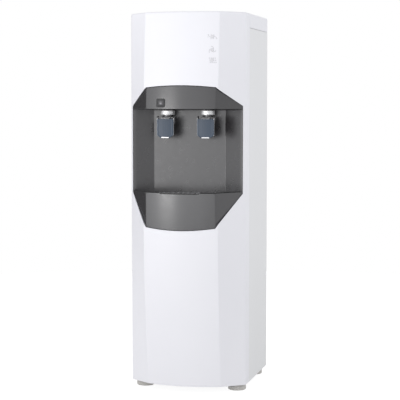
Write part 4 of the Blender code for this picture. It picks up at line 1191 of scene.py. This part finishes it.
def camera():
    data = bpy.data.cameras.new("camera")
    data.lens = LENS_MM
    data.sensor_width = SENSOR_MM
    data.clip_end = 100.0
    obj = linked("camera", data)
    obj.location = CAMERA_PLACE
    yaw, pitch = radians(CAMERA_YAW), radians(CAMERA_PITCH)
    look = Vector((-sin(yaw) * cos(pitch), cos(yaw) * cos(pitch), -sin(pitch)))
    obj.rotation_euler = look.to_track_quat("-Z", "Y").to_euler()
    bpy.context.scene.camera = obj


def key_light():
    data = bpy.data.lights.new("key", "AREA")
    data.shape = "RECTANGLE"
    data.size, data.size_y = KEY_SIZE, KEY_SIZE
    data.energy = KEY_POWER
    data.color = KEY_COLOUR
    obj = linked("key", data)
    obj.location = KEY_PLACE
    obj.rotation_euler = (Vector(KEY_TARGET) - Vector(KEY_PLACE)).to_track_quat("-Z", "Y").to_euler()


def direction(azimuth, elevation):
    """The unit vector towards a place round the object, azimuth 0 being in front of it and + to its right."""
    turn, rise = radians(azimuth), radians(elevation)
    return Vector((sin(turn) * cos(rise), -cos(turn) * cos(rise), sin(rise)))


def glow(graph, azimuth, elevation, sharpness, strength):
    """A soft bright or dark patch of the studio."""
    inputs = {0: graph.place("Generated"), 1: direction(azimuth, elevation)}
    dot = graph.add("ShaderNodeVectorMath", inputs, "DOT_PRODUCT")
    lit = graph.combine("MAXIMUM", dot.outputs["Value"], 0.0)
    return graph.combine("MULTIPLY", graph.combine("POWER", lit, sharpness), strength)


def studio():
    """The surroundings' light, and the plain white that the camera sees behind the object."""
    world = bpy.data.worlds.new("studio")
    world.use_nodes = True
    graph = Graph(world.node_tree)
    total = WORLD_BASE
    for each in GLOWS:
        total = graph.combine("ADD", glow(graph, *each), total)
    dim = graph.nodes["Background"]
    graph.feed(dim, {"Color": WORLD_COLOUR, "Strength": graph.combine("MAXIMUM", total, 0.0)})
    seen = graph.add("ShaderNodeBackground", {"Color": PURE_WHITE, "Strength": 1.0})
    graph.feed(graph.nodes["World Output"], {"Surface": graph.by_ray(dim.outputs[0], seen.outputs[0])})
    bpy.context.scene.world = world
    bpy.context.scene.view_settings.view_transform = "Standard"


def pale_floor():
    """A pale floor that the camera sees as white as the background, with a trace of contact shadow."""
    finish = Finish("pale floor")
    seen = finish.add("ShaderNodeEmission", {"Strength": FLOOR_SEEN})
    faint = finish.add("ShaderNodeBsdfDiffuse", {"Color": (0.3, 0.3, 0.3, 1.0)})
    both = finish.add("ShaderNodeAddShader", {0: seen.outputs[0], 1: faint.outputs[0]})
    surface = finish.by_ray(finish.shader.outputs[0], both.outputs[0])
    finish.feed(finish.nodes["Material Output"], {"Surface": surface})
    pale = finish.made({
        "Base Color": finish.ramp(finish.noise(1.5), (0.48, 0.48, 0.48), (0.50, 0.50, 0.50)),
        "Roughness": 0.8,
        "Emission Color": PURE_WHITE,
        "Emission Strength": FLOOR_GLOW,
    })
    mesh = bmesh.new()
    bmesh.ops.create_circle(mesh, cap_ends=True, segments=96, radius=FLOOR_RADIUS)
    data = data_of(mesh, "floor")
    data.materials.append(pale)
    floor = linked("floor", data)


# --- the whole

# The finish of each of the record's material slots, for the CAD nodes that stay in view
FINISHES = {
    "white_plastic": WHITE, "white_painted_steel": STEEL_WHITE, "dark_grey_plastic": DARK, "chrome": CHROME,
    "smoked_plastic": SMOKED, "stainless_steel": STAINLESS, "galvanised_steel": ZINC,
    "black_painted_metal": BLACK_PAINT, "white_foam": FOAM, "copper": COPPER, "black_plastic": BLACK,
    "filter_blue": BLUE, "lamp_lens": LENS, "board_green": BOARD, "silicone_tube": TUBE,
    "foot_grey_plastic": FOOT,
}


def dress():
    """Gives the CAD nodes that stay in view their finishes."""
    for entry in frame["record"]["subparts"]:
        node = frame["nodes"][entry["node"]]
        for slot in node.material_slots:
            slot.material = FINISHES[entry["material_slot"]]
        soften(node)


def soften(node):
    """Joins a CAD node's facets, rounds its sharp edges a little and evens its shading."""
    weld = node.modifiers.new("weld", "WELD")
    weld.merge_threshold = 0.00001
    rounding = node.modifiers.new("edges", "BEVEL")
    rounding.width = 0.0004
    rounding.segments = 2
    rounding.limit_method = "ANGLE"
    rounding.angle_limit = radians(35)
    node.modifiers.new("weighted normals", "WEIGHTED_NORMAL")


dress()
camera()
key_light()
studio()
pale_floor()
front_cover()
top_cover()
side_panel(-1, "side_panel_left")
side_panel(1, "side_panel_right")
bay_brow()
bay_shell()
drip_tray_front()
tray_shade_strip()
lock_button()
lamp_lenses()
lamp_signs()
tap(-1, "hot")
tap(1, "cold")
feet()
condenser_wires()
condenser_ends()
rear_screws()
